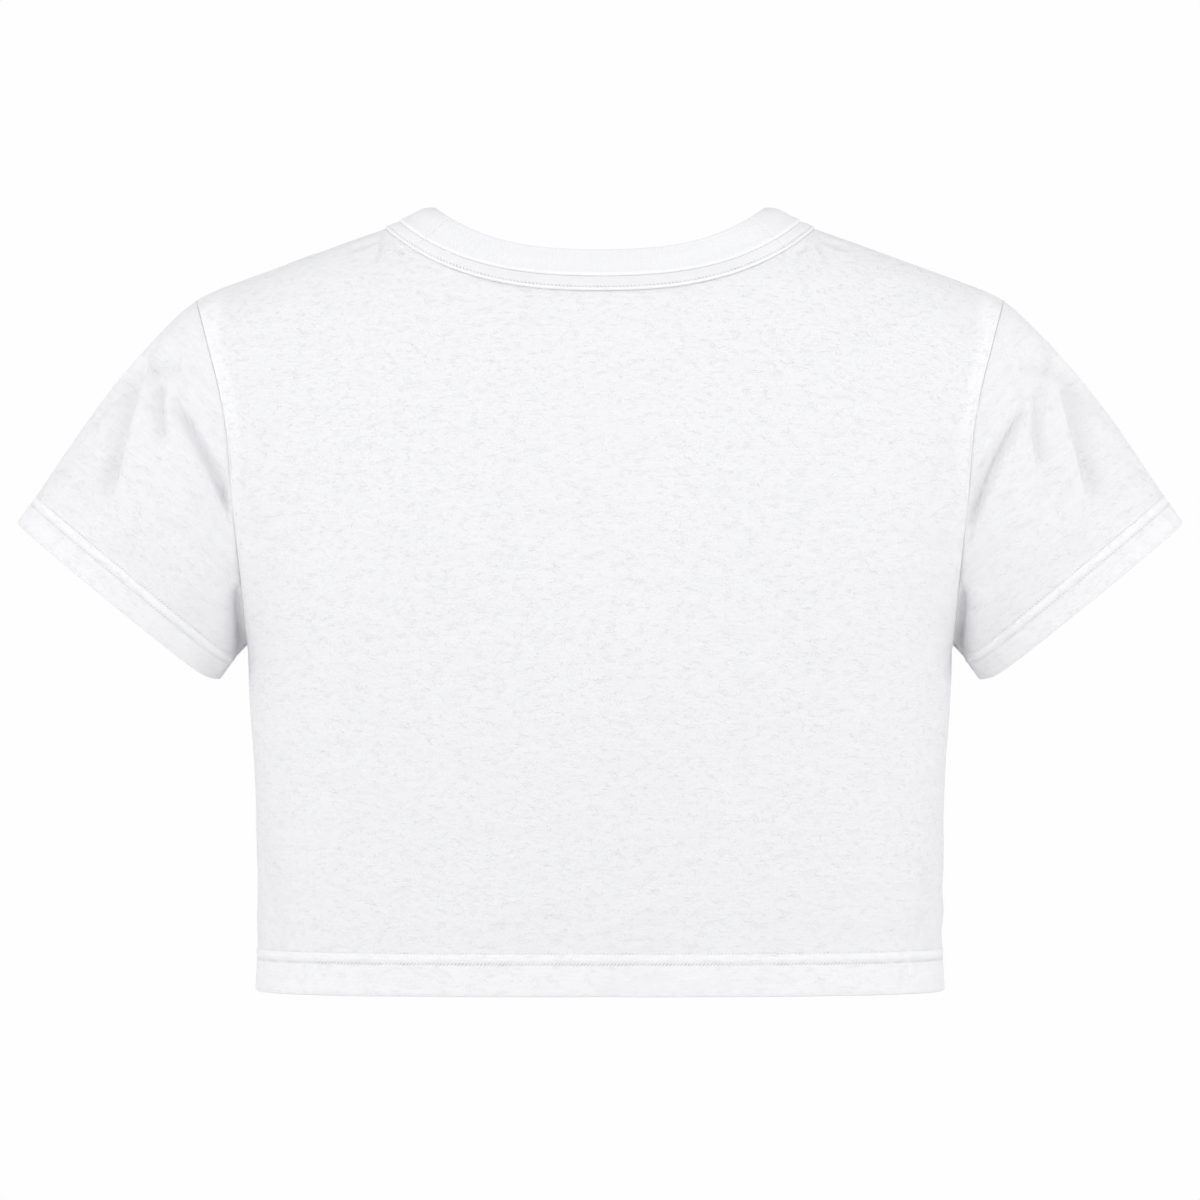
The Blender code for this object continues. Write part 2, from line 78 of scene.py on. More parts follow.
STITCH_WAVE = 0.05  # longest wave in that unevenness
HEM_SIDE_SHARE = 0.35  # how much of the hem's relief is left at the sides
HEM_SIDE_FADE = 0.01  # and how far from there it is whole
BEND_HEIGHT = 0.16  # below the origin, where the cloth begins to bend over the shoulder
BEND_DEPTH = 0.1
# where each comes in, and over what length
ALLOWANCE_WIDENS = (0.06, 0.05)  # depth below the origin
ALLOWANCE_SHOWS = (-0.19, 0.13)  # height
ALLOWANCE_CLEAR = (0.001, 0.014)  # distance from the shoulder seam
SIDE_DRAW_START = (0.24, 0.05)  # depths below the origin
HEM_DRAW_START = (0.34, 0.015)
# seeds of the cloth's uneven waves
HEM_SEED = 11
ARMHOLE_SEED = 14
SHOULDER_SEED = 17
BROAD_SEEDS = {"back": 19, "front": 20}
BROAD_CROSS_SEED = 16
WALE_SEED = 21
SLEEVE_SEEDS = {"left": 31, "right": 37}
# ripples along the body's hem: height, slant, seed, longest wave, middle above the edge, half width
HEM_RIPPLES = (
    (0.00022, 0.0, 12, 0.018, 0.01, 0.0055),
    (0.00016, 0.4, 13, 0.01, 0.024, 0.005),
)
CUFF_RIPPLE = (0.00018, 0.015, 0.008, 0.005)  # height, longest wave, middle from the edge, half width
SLEEVE_HEM_MOST = 0.72  # the most of a sleeve's length that its hem takes up
WAVES = 7  # plain waves in each uneven one
PLACES_PER_METRE = 2e5  # rim points meet when they share a place this fine
STRAIGHT_RIM = -0.7  # cosine between the two ways along a rim, above which a point is a corner
CORNER_REACH = 1.3  # how much further in the edge is drawn there
RIM_TURNS = (40.0, 90.0, 140.0)  # degrees round a rim, from the outer side
FAR = 1.0  # stands for a seam or edge that isn't near

# ---- Body ----
HEM_HEIGHT = -0.378
UNDERARM_HEIGHT = -0.2075
UNDERARM_DIP = 0.03
BODY_STITCHES = (0.0159, 0.0211)  # heights of the twin rows above the hem's edge

# height, half width, depth of the back, depth of the front, squareness
BODY_SECTIONS = (
    (-0.378, 0.1714, 0.095, 0.102, 2.9),
    (-0.35, 0.1702, 0.096, 0.1035, 2.75),
    (-0.315, 0.1705, 0.0975, 0.1055, 2.6),
    (-0.265, 0.1716, 0.099, 0.108, 2.45),
    (-0.235, 0.1736, 0.1, 0.109, 2.38),
    (-0.2075, 0.1745, 0.1005, 0.109, 2.35),
)

# ---- Shoulders and armholes ----
SHOULDER_TIP = 0.2
SHOULDER_SLOPE = 0.385
SHOULDER_ROUND = 0.05
ARMHOLE_DEPTH = 0.056
SEAM_SET_BACK = 0.012
SEAM_STRAIGHT = 0.115
SHOULDER_BULGE = 0.008
TIP_DROP = 0.0012  # how far the cloth rounds down over the shoulder's tip
TIP_REACH = 0.0075
COLUMN_RISE = 0.9
COLUMN_SPREAD = 1.5
COLUMN_SPREAD_REACH = 8
COLUMN_ARCH = 0.8
ARMHOLE_ARCH = {"back": 0.35, "front": 0.8}
ARMHOLE_REACH = 6

# height, half width of the armhole seam
ARMHOLE_LINE = (
    (-0.2075, 0.1745),
    (-0.173, 0.1766),
    (-0.14, 0.1798),
    (-0.101, 0.1832),
    (-0.0838, 0.1865),
    (-0.0615, 0.1925),
    (-0.0353, 0.2),
)

# ---- Neck ----
NECK_HALF_WIDTH = 0.0992
NECK_SIDE_HEIGHT = 0.001
STRIP_WIDTH = 0.0075
STRIP_WALL = 0.0011
STRIP_STITCH = 0.76  # where the stitch row runs, as a share of the strip's width
STRIP_OVER = (  # the strip's outer side: share of its width, height as a share of its wall
    (1.0, 0.25), (0.97, 0.8), (0.92, 1.15), (0.86, 1.15), (0.8, 0.9), (STRIP_STITCH, 0.65),
    (0.72, 0.85), (0.62, 1.0), (0.4, 1.05), (0.18, 1.0), (0.0, 0.9),
)
STRIP_UNDER = (1.0, 0.8, 0.4, 0.0)  # and its inner side
STRIP_LIP = (0.84, 0.98)  # the raised lip beyond the stitch row, as shares of the width; it is painted lighter as a painted highlight
STRIP_CURL = 0.0002  # how far the strip's free edge stands off the panel
STRIP_STEP = 0.0012  # distance between the strip's sections
LAY_GAP = 0.0002  # and between its inner side and the panel
RIB_WALL = 0.0024
RIB_LIFT = 0.0011
RIB_BOW = 0.0005
RIB_CORNER_LEAN = 62.0
RIB_CORNER_WIDTH = 0.0175
RIB_ROLL = 0.003  # how far the folded edge rolls over into the neck at the corners
RIB_ROLL_START = 0.55
RIB_ROLL_WIDTH = 0.0028
RIB_FOOT = (  # the rib's outer side: share of its width, how far it swells there
    (0.004, -0.0008), (0.012, -0.0001), (0.03, 0.0004), (0.07, 0.0006), (0.12, 0.0005),
    (0.2, 0.0002), (0.3, 0.0), (0.42, 0.0), (0.54, 0.0), (0.64, 0.0), (0.74, 0.0), (0.83, 0.0), (0.9, 0.0),
)
RIB_FOLD = 0.93  # share of the width where the band begins to turn over at its folded edge
RIB_TURNS = (0, 22, 45, 68, 90, 112, 135, 158, 180)  # degrees round that edge
RIB_INSIDE = (0.7, 0.4, 0.06)  # the rib's inner side: shares of its width
JOINT_DIP = 0.0004  # how far the collar dips where it is joined
JOINT_REACH = 0.0009
JOINT_TURN = math.radians(60)  # where the rib and strip are joined, from the middle of the back
WALE = 0.0015  # pitch of the rib's wales
WALE_DEPTH = 0.00008
WALE_FADE = (0.86, 0.12)  # where the wales fade out towards the corners, and over how much
JOINT_STITCH = 0.0017  # distance of the joint's stitch row from the joint

# side: dip of the neckline, squareness, lean of the rib in degrees, the rib's width
NECK_SIDES = {
    "back": (0.345, 0.97, 33.0, 0.0165),
    "front": (0.52, 0.85, 40.0, 0.0168),
}

# ---- Sleeves ----
SLEEVE_STITCHES = (0.0119, 0.0169)  # distances of the twin rows from the cuff's edge
CUFF_CENTRE = (0.2399, 0.0, -0.1874)
CUFF_HALF_LONG = (0.0494, 0.0, 0.0403)
CUFF_HALF_DEPTH = 0.042
CUFF_CURL = 0.003
CAP_START = (0.74, 0.17, -0.67)
CAP_SPEED = 1.3
CUFF_END = (0.605, 0.0, -0.796)

# ---- Folds and creases ----
# Troughs in the cloth, in millimetres, on its back and front halves: start x, start z, end x, end z, half
# width and depth, then, where they aren't 0, the height of the ridges on both sides and the sideways bow
LEFT_SLEEVE_FOLDS = {
    "back": (
        (212.5, -85, 179.5, -148, 8.5, 3.6),
        (212, -82.5, 175.2, -150, 2.8, 5.6, 1, 1.5),
        (230, -53, 248, -144, 8.8, 5, 0, -5.5),
        (228.5, -59, 245, -138, 4.8, 7.8, 0.6, -1),
        (206, -64, 225, -69, 9, 5.6),
        (254.9, -102.7, 268.8, -125, 7, 2),
        (218, -74, 216, -110, 2.9, 4.8, 0.6),
        (198.4, -133, 183, -156, 3.3, 1.6),
        (200, -141, 184, -159, 3, 1),
        (208, -62, 196, -76, 4, 0.8, 0, 1),
    ),
    "front": (
        (208, -83, 183, -144, 8, 4.4, 1, 3),
        (233, -80, 244, -138, 12, 3.6, 0, 2),
        (217, -87, 216, -108, 4.5, 1.3, 0.4),
        (196, -144, 182.5, -161, 4, 1),
    ),
}
RIGHT_SLEEVE_FOLDS = {
    "back": (
        (215, -85, 182, -150, 8.5, 3.4),
        (213, -84, 176.5, -158, 2.8, 5, 1, 3.5),
        (230.5, -54, 250.5, -145, 8.8, 5, 0, -2),
        (228.5, -59, 246, -140, 4.8, 7.4, 0.6, -1),
        (206, -64, 225, -69, 9, 5),
        (218, -88, 225, -150, 8.5, 5.2),
        (254.9, -102.7, 268.8, -125, 7, 1.6),
        (216.5, -76, 218.2, -123, 2.9, 4.2, 0.6, 1),
        (202, -73, 193, -83, 3.5, 0.8),
    ),
    "front": (
        (206, -84, 182, -146, 8, 4.4, 1, 2),
        (233, -76, 246, -140, 12, 3.6, 0, 2),
        (219, -92, 217, -118, 5, 1.2, 0.4),
    ),
}
# under the arm the sleeve is drawn in beside its seam, and puffs out a little further on
UNDERARM_HOLLOW = 0.0046
UNDERARM_HOLLOW_REACH = 0.0052
UNDERARM_HOLLOW_START = 0.0014
UNDERARM_PUFF = 0.0016
UNDERARM_PUFF_MIDDLE = 0.014
UNDERARM_PUFF_REACH = 0.007
# where a sleeve's folds come in, and over what length, from its middle line, its cuff and its seam
FOLD_CLEAR = ((0.002, 0.01), (0.004, 0.014), (0.0, 0.003))
# the same for the cloth low under the arm: depth below the origin, distance from the cuff and middle line
LOW_CLEAR = ((0.176, 0.01), (0.001, 0.009), (0.004, 0.011))
SLEEVE_RELIEF = 0.55  # how strong a sleeve hem's relief is beside the body's
BODY_FOLDS = {
    "back": (
        (89.3, -180, 126.5, -334.5, 18, 2.4, 0, 6),
        (-101, -215, -128, -330, 20, 1.4, 0, -4),
        # wrinkles that fan out from the neck's corners
        (106, -7, 110.5, -20.5, 1.5, 1.2, 0.4),
        (107.5, -6.5, 123, -13.7, 1.5, 1.2, 0.4),
        (100.5, -11.2, 95.7, -15.5, 1.4, 1.1, 0.3),
        (-106, -7, -111.2, -19.5, 1.5, 1.2, 0.4),
        (-108.5, -7, -122.5, -13, 1.5, 1.1, 0.4),
        (-101, -11.5, -96.5, -15, 1.4, 1, 0.3),
        # puckers above the hem, near the sides
        (163, -335, 156, -354, 2.6, 0.8, 0.3),
        (156, -340, 148, -355, 2.2, 0.6, 0.2),
        (143, -330, 133, -354, 5, 0.8),
        (165, -308, 157, -357, 5.8, 2.2),
        (-162, -336, -157, -354, 2.6, 0.7, 0.3),
        (-153, -340, -144, -355, 2.4, 0.6, 0.2),
        (-165, -312, -157.5, -356, 5.8, 2),
    ),
    "front": (
        (-86, -190, -120, -340, 19, 2.4, 0, -6),
        (102, -200, 120, -320, 20, 1.6, 0, 4),
        (108, -12, 118, -30, 3, 0.7, 0.3),
        (-108, -11, -120, -27, 3, 0.7, 0.3),
        (162, -337, 156, -354, 2.6, 0.8, 0.3),
        (-161, -334, -154, -354, 2.6, 0.8, 0.3),
        (150, -150, 132, -190, 8, 1.4, 0, 2),
        (-152, -154, -135, -195, 8, 1.4, 0, -2),
    ),
}

# ---- Stitches ----
STITCH_PITCH = 0.0018
STITCH_LENGTH = 0.00125
STITCH_WIDTH = 0.00045
STITCH_HEIGHT = 0.00021
STITCH_SLANT = 0.35
JOINT_PITCH = 0.00135
# a thread's rings: place along it, from its middle, and size
STITCH_RINGS = ((-0.46, 0.45), (-0.3, 0.92), (0.0, 1.0), (0.3, 0.92), (0.46, 0.45))
STITCH_SIDES = 6

SIDES = {"back": 1.0, "front": -1.0}
BODY = "root"


# ---- Curves and small helpers ----
def hermite(start, leave, end, arrive, t):
    return ((1 + 2 * t) * (1 - t) ** 2 * start + t * (1 - t) ** 2 * leave
            + t * t * (3 - 2 * t) * end + t * t * (t - 1) * arrive)


def along_table(table, column, key):
    keys = np.array([row[0] for row in table])
    values = np.array([row[column] for row in table])
    slopes = np.gradient(values, keys)
    key = np.clip(key, keys[0], keys[-1])
    low = np.clip(np.searchsorted(keys, key) - 1, 0, len(keys) - 2)
    span = keys[low + 1] - keys[low]
    return hermite(values[low], slopes[low] * span, values[low + 1], slopes[low + 1] * span,
                   (key - keys[low]) / span)


def ease(t):
    t = np.clip(t, 0.0, 1.0)
    return t * t * (3 - 2 * t)


def ramp(value, start, length):
    """0 up to the start, rising smoothly to 1 over the length."""
    return ease((value - start) / length)


def at_least(floor, share):
    """The share, drawn up so that it begins at the floor in place of 0."""
    return floor + (1 - floor) * share


def nearest(values, wanted):
    return int(np.argmin(np.abs(values - wanted)))


def bell(value, centre, half_width):
    return np.exp(-((value - centre) / half_width) ** 2)


def vectors(x, y, z):
    return np.stack(np.broadcast_arrays(x, y, z), axis=-1).astype(float)


def unit(vector):
    vector = np.asarray(vector, dtype=float)
    return vector / np.maximum(np.linalg.norm(vector, axis=-1, keepdims=True), 1e-12)


def dot(a, b):
    return np.sum(a * b, axis=-1, keepdims=True)


def across(vector, axis):
    return vector - axis * dot(vector, axis)


def spaced(*runs):
    """Values in runs of (start, end, count), each run leaving out its end, and the last end added."""
    values = [np.linspace(start, end, count, endpoint=False) for start, end, count in runs]
    return np.concatenate(values + [[runs[-1][1]]])


def along_path(points, axis=0):
    """Distance travelled along rows of points."""
    steps = np.linalg.norm(np.diff(points, axis=axis), axis=-1)
    return np.insert(np.cumsum(steps, axis=axis), 0, 0.0, axis=axis)


def wander(value, seed, longest=0.08):
    """A smooth uneven wave between about -1 and 1 along a distance in metres."""
    rng = np.random.default_rng(seed)
    lengths = longest * rng.uniform(0.12, 1.0, WAVES)
    phases = rng.uniform(0, 2 * math.pi, WAVES)
    total = sum(np.sin(2 * math.pi * value / length + phase) for length, phase in zip(lengths, phases))
    return total / math.sqrt(WAVES)


def fold_depth(folds, x, z):
    total = np.zeros_like(x)
    for fold in folds:
        x0, z0, x1, z1, half_width, depth, *more = (value / 1000 for value in fold)
        ridge, bow = (more + [0.0, 0.0])[:2]
        length = math.hypot(x1 - x0, z1 - z0)
        run_x, run_z = (x1 - x0) / length, (z1 - z0) / length
        t = ((x - x0) * run_x + (z - z0) * run_z) / length
        offset = (x - x0) * run_z - (z - z0) * run_x - bow * np.sin(math.pi * np.clip(t, 0.0, 1.0))
        beyond = np.maximum(np.maximum(-t, t - 1.0), 0.0) * length
        fade = bell(beyond, 0.0, half_width) * at_least(FOLD_END, ease(np.minimum(t, 1 - t) * 4.0))
        ridges = sum(bell(offset, place * half_width, RIDGE_WIDTH * half_width) for place in RIDGE_PLACES)
        total += fade * (depth * bell(offset, 0.0, half_width) - ridge * ridges)
    return total


# ---- Body surface ----
def ridge_height(x):
    reach = np.hypot(x, SHOULDER_ROUND) - math.hypot(NECK_HALF_WIDTH, SHOULDER_ROUND)
    return NECK_SIDE_HEIGHT - SHOULDER_SLOPE * reach


ARMHOLE_HALF_HEIGHT = (ridge_height(SHOULDER_TIP) - UNDERARM_HEIGHT) / 2
RIDGE_RADIUS = ARMHOLE_DEPTH ** 2 / ARMHOLE_HALF_HEIGHT
SEAM_TURN = math.asin(SEAM_SET_BACK / ARMHOLE_DEPTH)


def body_section(side, s, height):
    half_width = along_table(BODY_SECTIONS, 1, height)
    depth = along_table(BODY_SECTIONS, 2 if side == "back" else 3, height)
    power = along_table(BODY_SECTIONS, 4, height)
    share = np.sin(s * math.pi / 2)
    y = depth * np.maximum(1 - np.abs(share) ** power, 0.0) ** (1 / power)
    return vectors(half_width * share, SIDES[side] * y, height)


def underarm_row_height(s):
    return UNDERARM_HEIGHT - UNDERARM_DIP * (1 - s ** 4)


def armhole_turn(side, w):
    return w * (math.pi - SIDES[side] * SEAM_TURN)


def armhole(side, w):
    turn = armhole_turn(side, w)
    height = UNDERARM_HEIGHT + ARMHOLE_HALF_HEIGHT * (1 - np.cos(turn))
    return vectors(along_table(ARMHOLE_LINE, 1, height), SIDES[side] * ARMHOLE_DEPTH * np.sin(turn), height)


def ridge_x(s):
    return SHOULDER_TIP * s * (1.35 - 0.35 * s * s)


def seam_set_back(x):
    run = (np.abs(x) - SEAM_STRAIGHT) / (SHOULDER_TIP - SEAM_STRAIGHT)
    return SEAM_SET_BACK * np.maximum(run, 0.0) ** 1.5


def sheet_column(side, s, w):
    start = body_section(side, s, underarm_row_height(s))
    x = ridge_x(s)
    set_back = seam_set_back(x)
    end = vectors(x, set_back, ridge_height(x) - set_back ** 2 / (2 * RIDGE_RADIUS))
    length = np.linalg.norm(end - start, axis=-1, keepdims=True)
    leave = unit(vectors(0.0, SIDES[side] * COLUMN_SPREAD * np.abs(s) ** COLUMN_SPREAD_REACH, 1.0))
    arrive = unit(vectors(0.0, -SIDES[side], SIDES[side] * set_back / RIDGE_RADIUS))
    t = np.asarray(w, dtype=float)[..., None]
    arch = COLUMN_ARCH + ARMHOLE_ARCH[side] * s[..., None] ** 4
    point = hermite(start, leave * length * COLUMN_RISE, end, arrive * length * arch, t)
    bulge = SHOULDER_BULGE * (4 * w * (1 - w) * np.sin(math.pi * s)) ** 2
    return point + vectors(0.0, SIDES[side] * bulge, 0.0)


def sheet(side, s, w):
    s = np.asarray(s, dtype=float)
    w = np.asarray(w, dtype=float)
    mirror = vectors(np.where(s < 0, -1.0, 1.0), 1.0, 1.0)
    shift = armhole(side, w) - sheet_column(side, np.ones_like(s), w)
    return sheet_column(side, s, w) + mirror * shift * np.abs(s)[..., None] ** ARMHOLE_REACH


def sheet_slopes(side, s, w, step=1e-4):
    return ((sheet(side, s + step, w) - sheet(side, s - step, w)) / (2 * step),
            (sheet(side, s, w + step) - sheet(side, s, w - step)) / (2 * step))


def sheet_share(half_width):
    shares = np.linspace(0.0, 1.0, 2001)
    return float(np.interp(half_width, ridge_x(shares), shares))


# ---- Neck curves ----
def neck_cut(side, turn):
    dip, squareness = NECK_SIDES[side][:2]
    corner = sheet_share(NECK_HALF_WIDTH)
    return corner * np.sin(turn), 1 - dip * np.maximum(np.cos(turn), 0.0) ** squareness


def neck_frame(side, turn):
    step = 1e-3
    s, w = neck_cut(side, turn)
    base = sheet(side, s, w)
    by_s, by_w = sheet_slopes(side, s, w)
    out = unit(np.cross(by_w, by_s) * SIDES[side])
    ahead = sheet(side, *neck_cut(side, turn + step))
    behind = sheet(side, *neck_cut(side, turn - step))
    at_corner = (np.abs(turn) > math.pi / 2 - 1e-6)[..., None]
    over = vectors(0.0, -SIDES[side] * np.sign(turn), 0.0)
    tangent = unit(across(np.where(at_corner, over, ahead - behind), out))
    down = np.cross(out, tangent) * SIDES[side]
    return base, tangent, down, out


def neck_band(side, turn, share):
    s, w = neck_cut(side, turn)
    base, _, down, _ = neck_frame(side, turn)
    target = base + down * STRIP_WIDTH * share
    for _ in range(6):
        by_s, by_w = sheet_slopes(side, s, w)
        miss = target - sheet(side, s, w)
        ss, sw, ww = (dot(a, b)[..., 0] for a, b in ((by_s, by_s), (by_s, by_w), (by_w, by_w)))
        ms, mw = dot(miss, by_s)[..., 0], dot(miss, by_w)[..., 0]
        spread = ss * ww - sw * sw
        s = s + (ms * ww - mw * sw) / spread
        w = w + (mw * ss - ms * sw) / spread
    edge = sheet_share(NECK_HALF_WIDTH + STRIP_WIDTH / math.hypot(1.0, SHOULDER_SLOPE))
    corner = sheet_share(NECK_HALF_WIDTH)
    at_corner = np.abs(turn) > math.pi / 2 - 1e-6
    s = np.where(at_corner, np.sign(turn) * (corner + (edge - corner) * share), s)
    return s, np.where(at_corner, 1.0, w)


# ---- Sleeve surface ----
def cuff(turn):
    curl = CUFF_CURL * np.exp(-(np.sin(turn / 2) / 0.18) ** 2)
    depth = CUFF_HALF_DEPTH * np.sign(np.sin(turn)) * np.abs(np.sin(turn)) ** 0.9
    ring = np.array(CUFF_CENTRE) - np.array(CUFF_HALF_LONG) * np.cos(turn)[..., None]
    return ring + vectors(0.0, depth, 0.0) - np.array(CUFF_END) * curl[..., None]


def sleeve_points(start, turn, t):
    end = cuff(turn)
    length = np.linalg.norm(end - start, axis=-1, keepdims=True)
    leave = unit(vectors(CAP_START[0], CAP_START[1] * np.sin(turn), CAP_START[2]))
    t = np.asarray(t, dtype=float)[..., None]
    return hermite(start, leave * length * CAP_SPEED, end, np.array(CUFF_END) * length, t)


# ---- Shells ----
def quads(grid):
    """The corners of each face of a grid of point numbers."""
    return np.stack([grid[:-1, :-1], grid[:-1, 1:], grid[1:, 1:], grid[1:, :-1]], axis=-1).reshape(-1, 4)


def closed(grid):
    """The grid with its first column again at its end."""
    return np.concatenate([grid, grid[:, :1]], axis=1)


class Shell:
    """The outer points and faces of one cloth piece, its thickness, and its place on the flat cloth."""

    def __init__(self, name):
        self.name = name
        self.points = np.zeros((0, 3))
        self.wall = np.zeros(0)
        self.ply_and_light = np.zeros(0)
        self.flat = np.zeros((0, 2))
        self.faces = np.zeros((0, 4), dtype=int)

    def add_points(self, points, wall, ply_and_light, flat):
        """Adds a grid of points and returns their numbers in the same grid."""
        first = len(self.points)
        shape = points.shape[:2]
        self.points = np.concatenate([self.points, points.reshape(-1, 3)])
        self.wall = np.concatenate([self.wall, np.broadcast_to(wall, shape).reshape(-1)])
        self.ply_and_light = np.concatenate([self.ply_and_light, np.broadcast_to(ply_and_light, shape).reshape(-1)])
        self.flat = np.concatenate([self.flat, flat.reshape(-1, 2)])
        return np.arange(first, len(self.points)).reshape(shape)

    def add_faces(self, grid, flip=False):
        self.faces = np.concatenate([self.faces, quads(grid)[:, ::-1] if flip else quads(grid)])

    def normals(self):
        a, b, c, d = (self.points[self.faces[:, i]] for i in range(4))
        lean = np.cross(c - a, d - b)
        total = np.zeros_like(self.points)
        for i in range(4):
            np.add.at(total, self.faces[:, i], lean)
        return unit(total)

    def rim(self):
        """The edges with a face on one side only, from each start to its end."""
        start = self.faces.reshape(-1)
        end = np.roll(self.faces, -1, axis=1).reshape(-1)
        count = len(self.points)
        alone = ~np.isin(start * count + end, end * count + start)
        return start[alone], end[alone]


def place_key(point):
    return tuple(int(round(value * PLACES_PER_METRE)) for value in point)


def meeting_normals(shells):
    """Each shell's normals, with one common direction where the rims of two shells meet."""
    normals = {shell.name: shell.normals() for shell in shells}
    meetings = {}
    for shell in shells:
        for i in shell.rim()[0]:
            meetings.setdefault(place_key(shell.points[i]), []).append((shell.name, i))
    for meeting in meetings.values():
        common = unit(sum(normals[name][i] for name, i in meeting))
        for name, i in meeting:
            normals[name][i] = common
    return normals


def rim_ways(shell, normals):
    """The way out of the piece at each rim point, in the surface and across the rim."""
    start, end = shell.rim()
    ahead = dict(zip(start, end))
    before = dict(zip(end, start))
    inward = np.zeros_like(shell.points)
    middle = shell.points[shell.faces].mean(axis=1)
    for i in range(4):
        np.add.at(inward, shell.faces[:, i], middle - shell.points[shell.faces[:, i]])
    ways = {}
    for i in start:
        to_next = unit(shell.points[ahead[i]] - shell.points[i])
        to_last = unit(shell.points[before[i]] - shell.points[i])
        way = -across(inward[i], normals[i])
        if np.dot(to_next, to_last) < STRAIGHT_RIM:
            way = unit(across(way, unit(across(to_next - to_last, normals[i]))))
        else:
            way = unit(way) * CORNER_REACH
        ways[i] = way
    return ways


def close_shell(shell, normals):
    """The closed piece: outer side, inner side and a rounded rim."""
    ways = rim_ways(shell, normals)
    points = shell.points.copy()
    bulge = np.where(shell.wall > 1.5 * CLOTH, shell.wall / 2, SEWN_BULGE)
    for i, way in ways.items():
        points[i] = points[i] - way * (bulge[i] + SEAM_GAP / 2)
    inner = points - normals * shell.wall[:, None]
    count = len(points)
    faces = [shell.faces, shell.faces[:, ::-1] + count]
    start, end = shell.rim()
    order = {i: k for k, i in enumerate(start)}
    middle = (points[start] + inner[start]) / 2
    radius = shell.wall[start][:, None] / 2
    reach = bulge[start][:, None]
    way = np.array([ways[i] for i in start])
    rings = [start]
    extra = []
    for angle in np.radians(RIM_TURNS):
        first = 2 * count + len(extra) * len(start)
        extra.append(middle + radius * normals[start] * math.cos(angle) + reach * way * math.sin(angle))
        rings.append(first + np.arange(len(start)))
    rings.append(start + count)
    follow = np.array([order[i] for i in end])
    for near, far in zip(rings, rings[1:]):
        faces.append(np.stack([near[follow], near, far, far[follow]], axis=-1))
    flat, ply_and_light = (np.concatenate([values, values] + [values[start]] * len(RIM_TURNS))
                   for values in (shell.flat, shell.ply_and_light))
    points = np.concatenate([points, inner] + extra)
    return add_cloth(shell.name, points, np.concatenate(faces).tolist(), flat, ply_and_light)


def add_mesh(name, points, faces):
    mesh = bpy.data.meshes.new(name)
    mesh.from_pydata(points, [], faces)
    mesh.shade_smooth()
    piece = bpy.data.objects.new(name, mesh)
    bpy.context.scene.collection.objects.link(piece)
    return piece


def add_cloth(name, points, faces, flat, ply_and_light):
    """A piece that knows each point's place on the flat cloth and how much its other plies and painted light
    whiten it.
    """
    piece = add_mesh(name + "_cloth", points.tolist(), faces)
    mesh = piece.data
    corner = np.empty(len(mesh.loops), dtype=np.int32)
    mesh.loops.foreach_get("vertex_index", corner)
    places = mesh.uv_layers.new(name="cloth").data
    places.foreach_set("uv", flat[corner].astype(np.float32).reshape(-1))
    mesh.attributes.new("ply_and_light", "FLOAT", "POINT").data.foreach_set("value", ply_and_light.astype(np.float32))
    return piece


# ---- Panels ----
NECK_FOOT = 0.62
neck_shares = spaced((0.0, 0.7, 34), (0.7, 1.0, 24))
shoulder_shares = spaced((0.0, 0.26, 22), (0.26, 0.8, 17), (0.8, 0.9, 6), (0.9, 0.99, 13),
                         (0.99, 1.0, 1))[1:]
hem_heights = spaced((0.0, 0.0018, 1), (0.0018, 0.014, 9), (0.014, 0.0232, 26))
body_shares = spaced((0.0, 0.03, 2), (0.03, 1.0, 52))[1:]
upper_shares = spaced((0.0, 0.74, 50), (0.74, 0.975, 30), (0.975, 1.0, 5))[1:]
band_shares = np.linspace(1.0, 0.0, 5)[1:]


def hem_relief(rise, low, high, uneven):
    """The turned hem's step, its two stitched grooves and the puffed band between them."""
    share = np.clip((high - rise) / (high - low), 0.0, 1.0)
    puff = ease(share / 0.16) * (1 - 0.95 * ramp(share, 0.2, 0.8)) * ease((1.0 - share) / 0.08)
    return (HEM_LIFT * ease(share) + HEM_PUFF * puff
            - STITCH_SINK * uneven * (bell(rise, low, LOW_GROOVE) + bell(rise, high, HIGH_GROOVE)))


def hem_ply_and_light(rise, low, high):
    """How white the extra cloth inside the hem makes it, from 0 to 1.

    The band between the rows also gets painted light: a painted highlight under the upper row that greys
    to painted shade at the lower row.
    """
    share = np.clip((high - rise) / (high - low), 0.0, 1.0)
    # painted light: the band is lightest under the upper row and greys to painted shade at the lower row
    band = ease((high + PLY_BLEND / 2 - rise) / PLY_BLEND) * (1.9 - 2.2 * ramp(share, 0.1, 0.9))
    return np.where(rise > low, band, 0.6 * ease((low - rise) / PLY_BLEND))


def allowance_band(gap, along, seed, width):
    """1 over the folded allowance beside a seam and 0 beyond it."""
    edge = width * (1 + 0.08 * wander(along, seed))
    return ramp(gap, *BAND_START) * ramp(edge, gap, BAND_FADE)


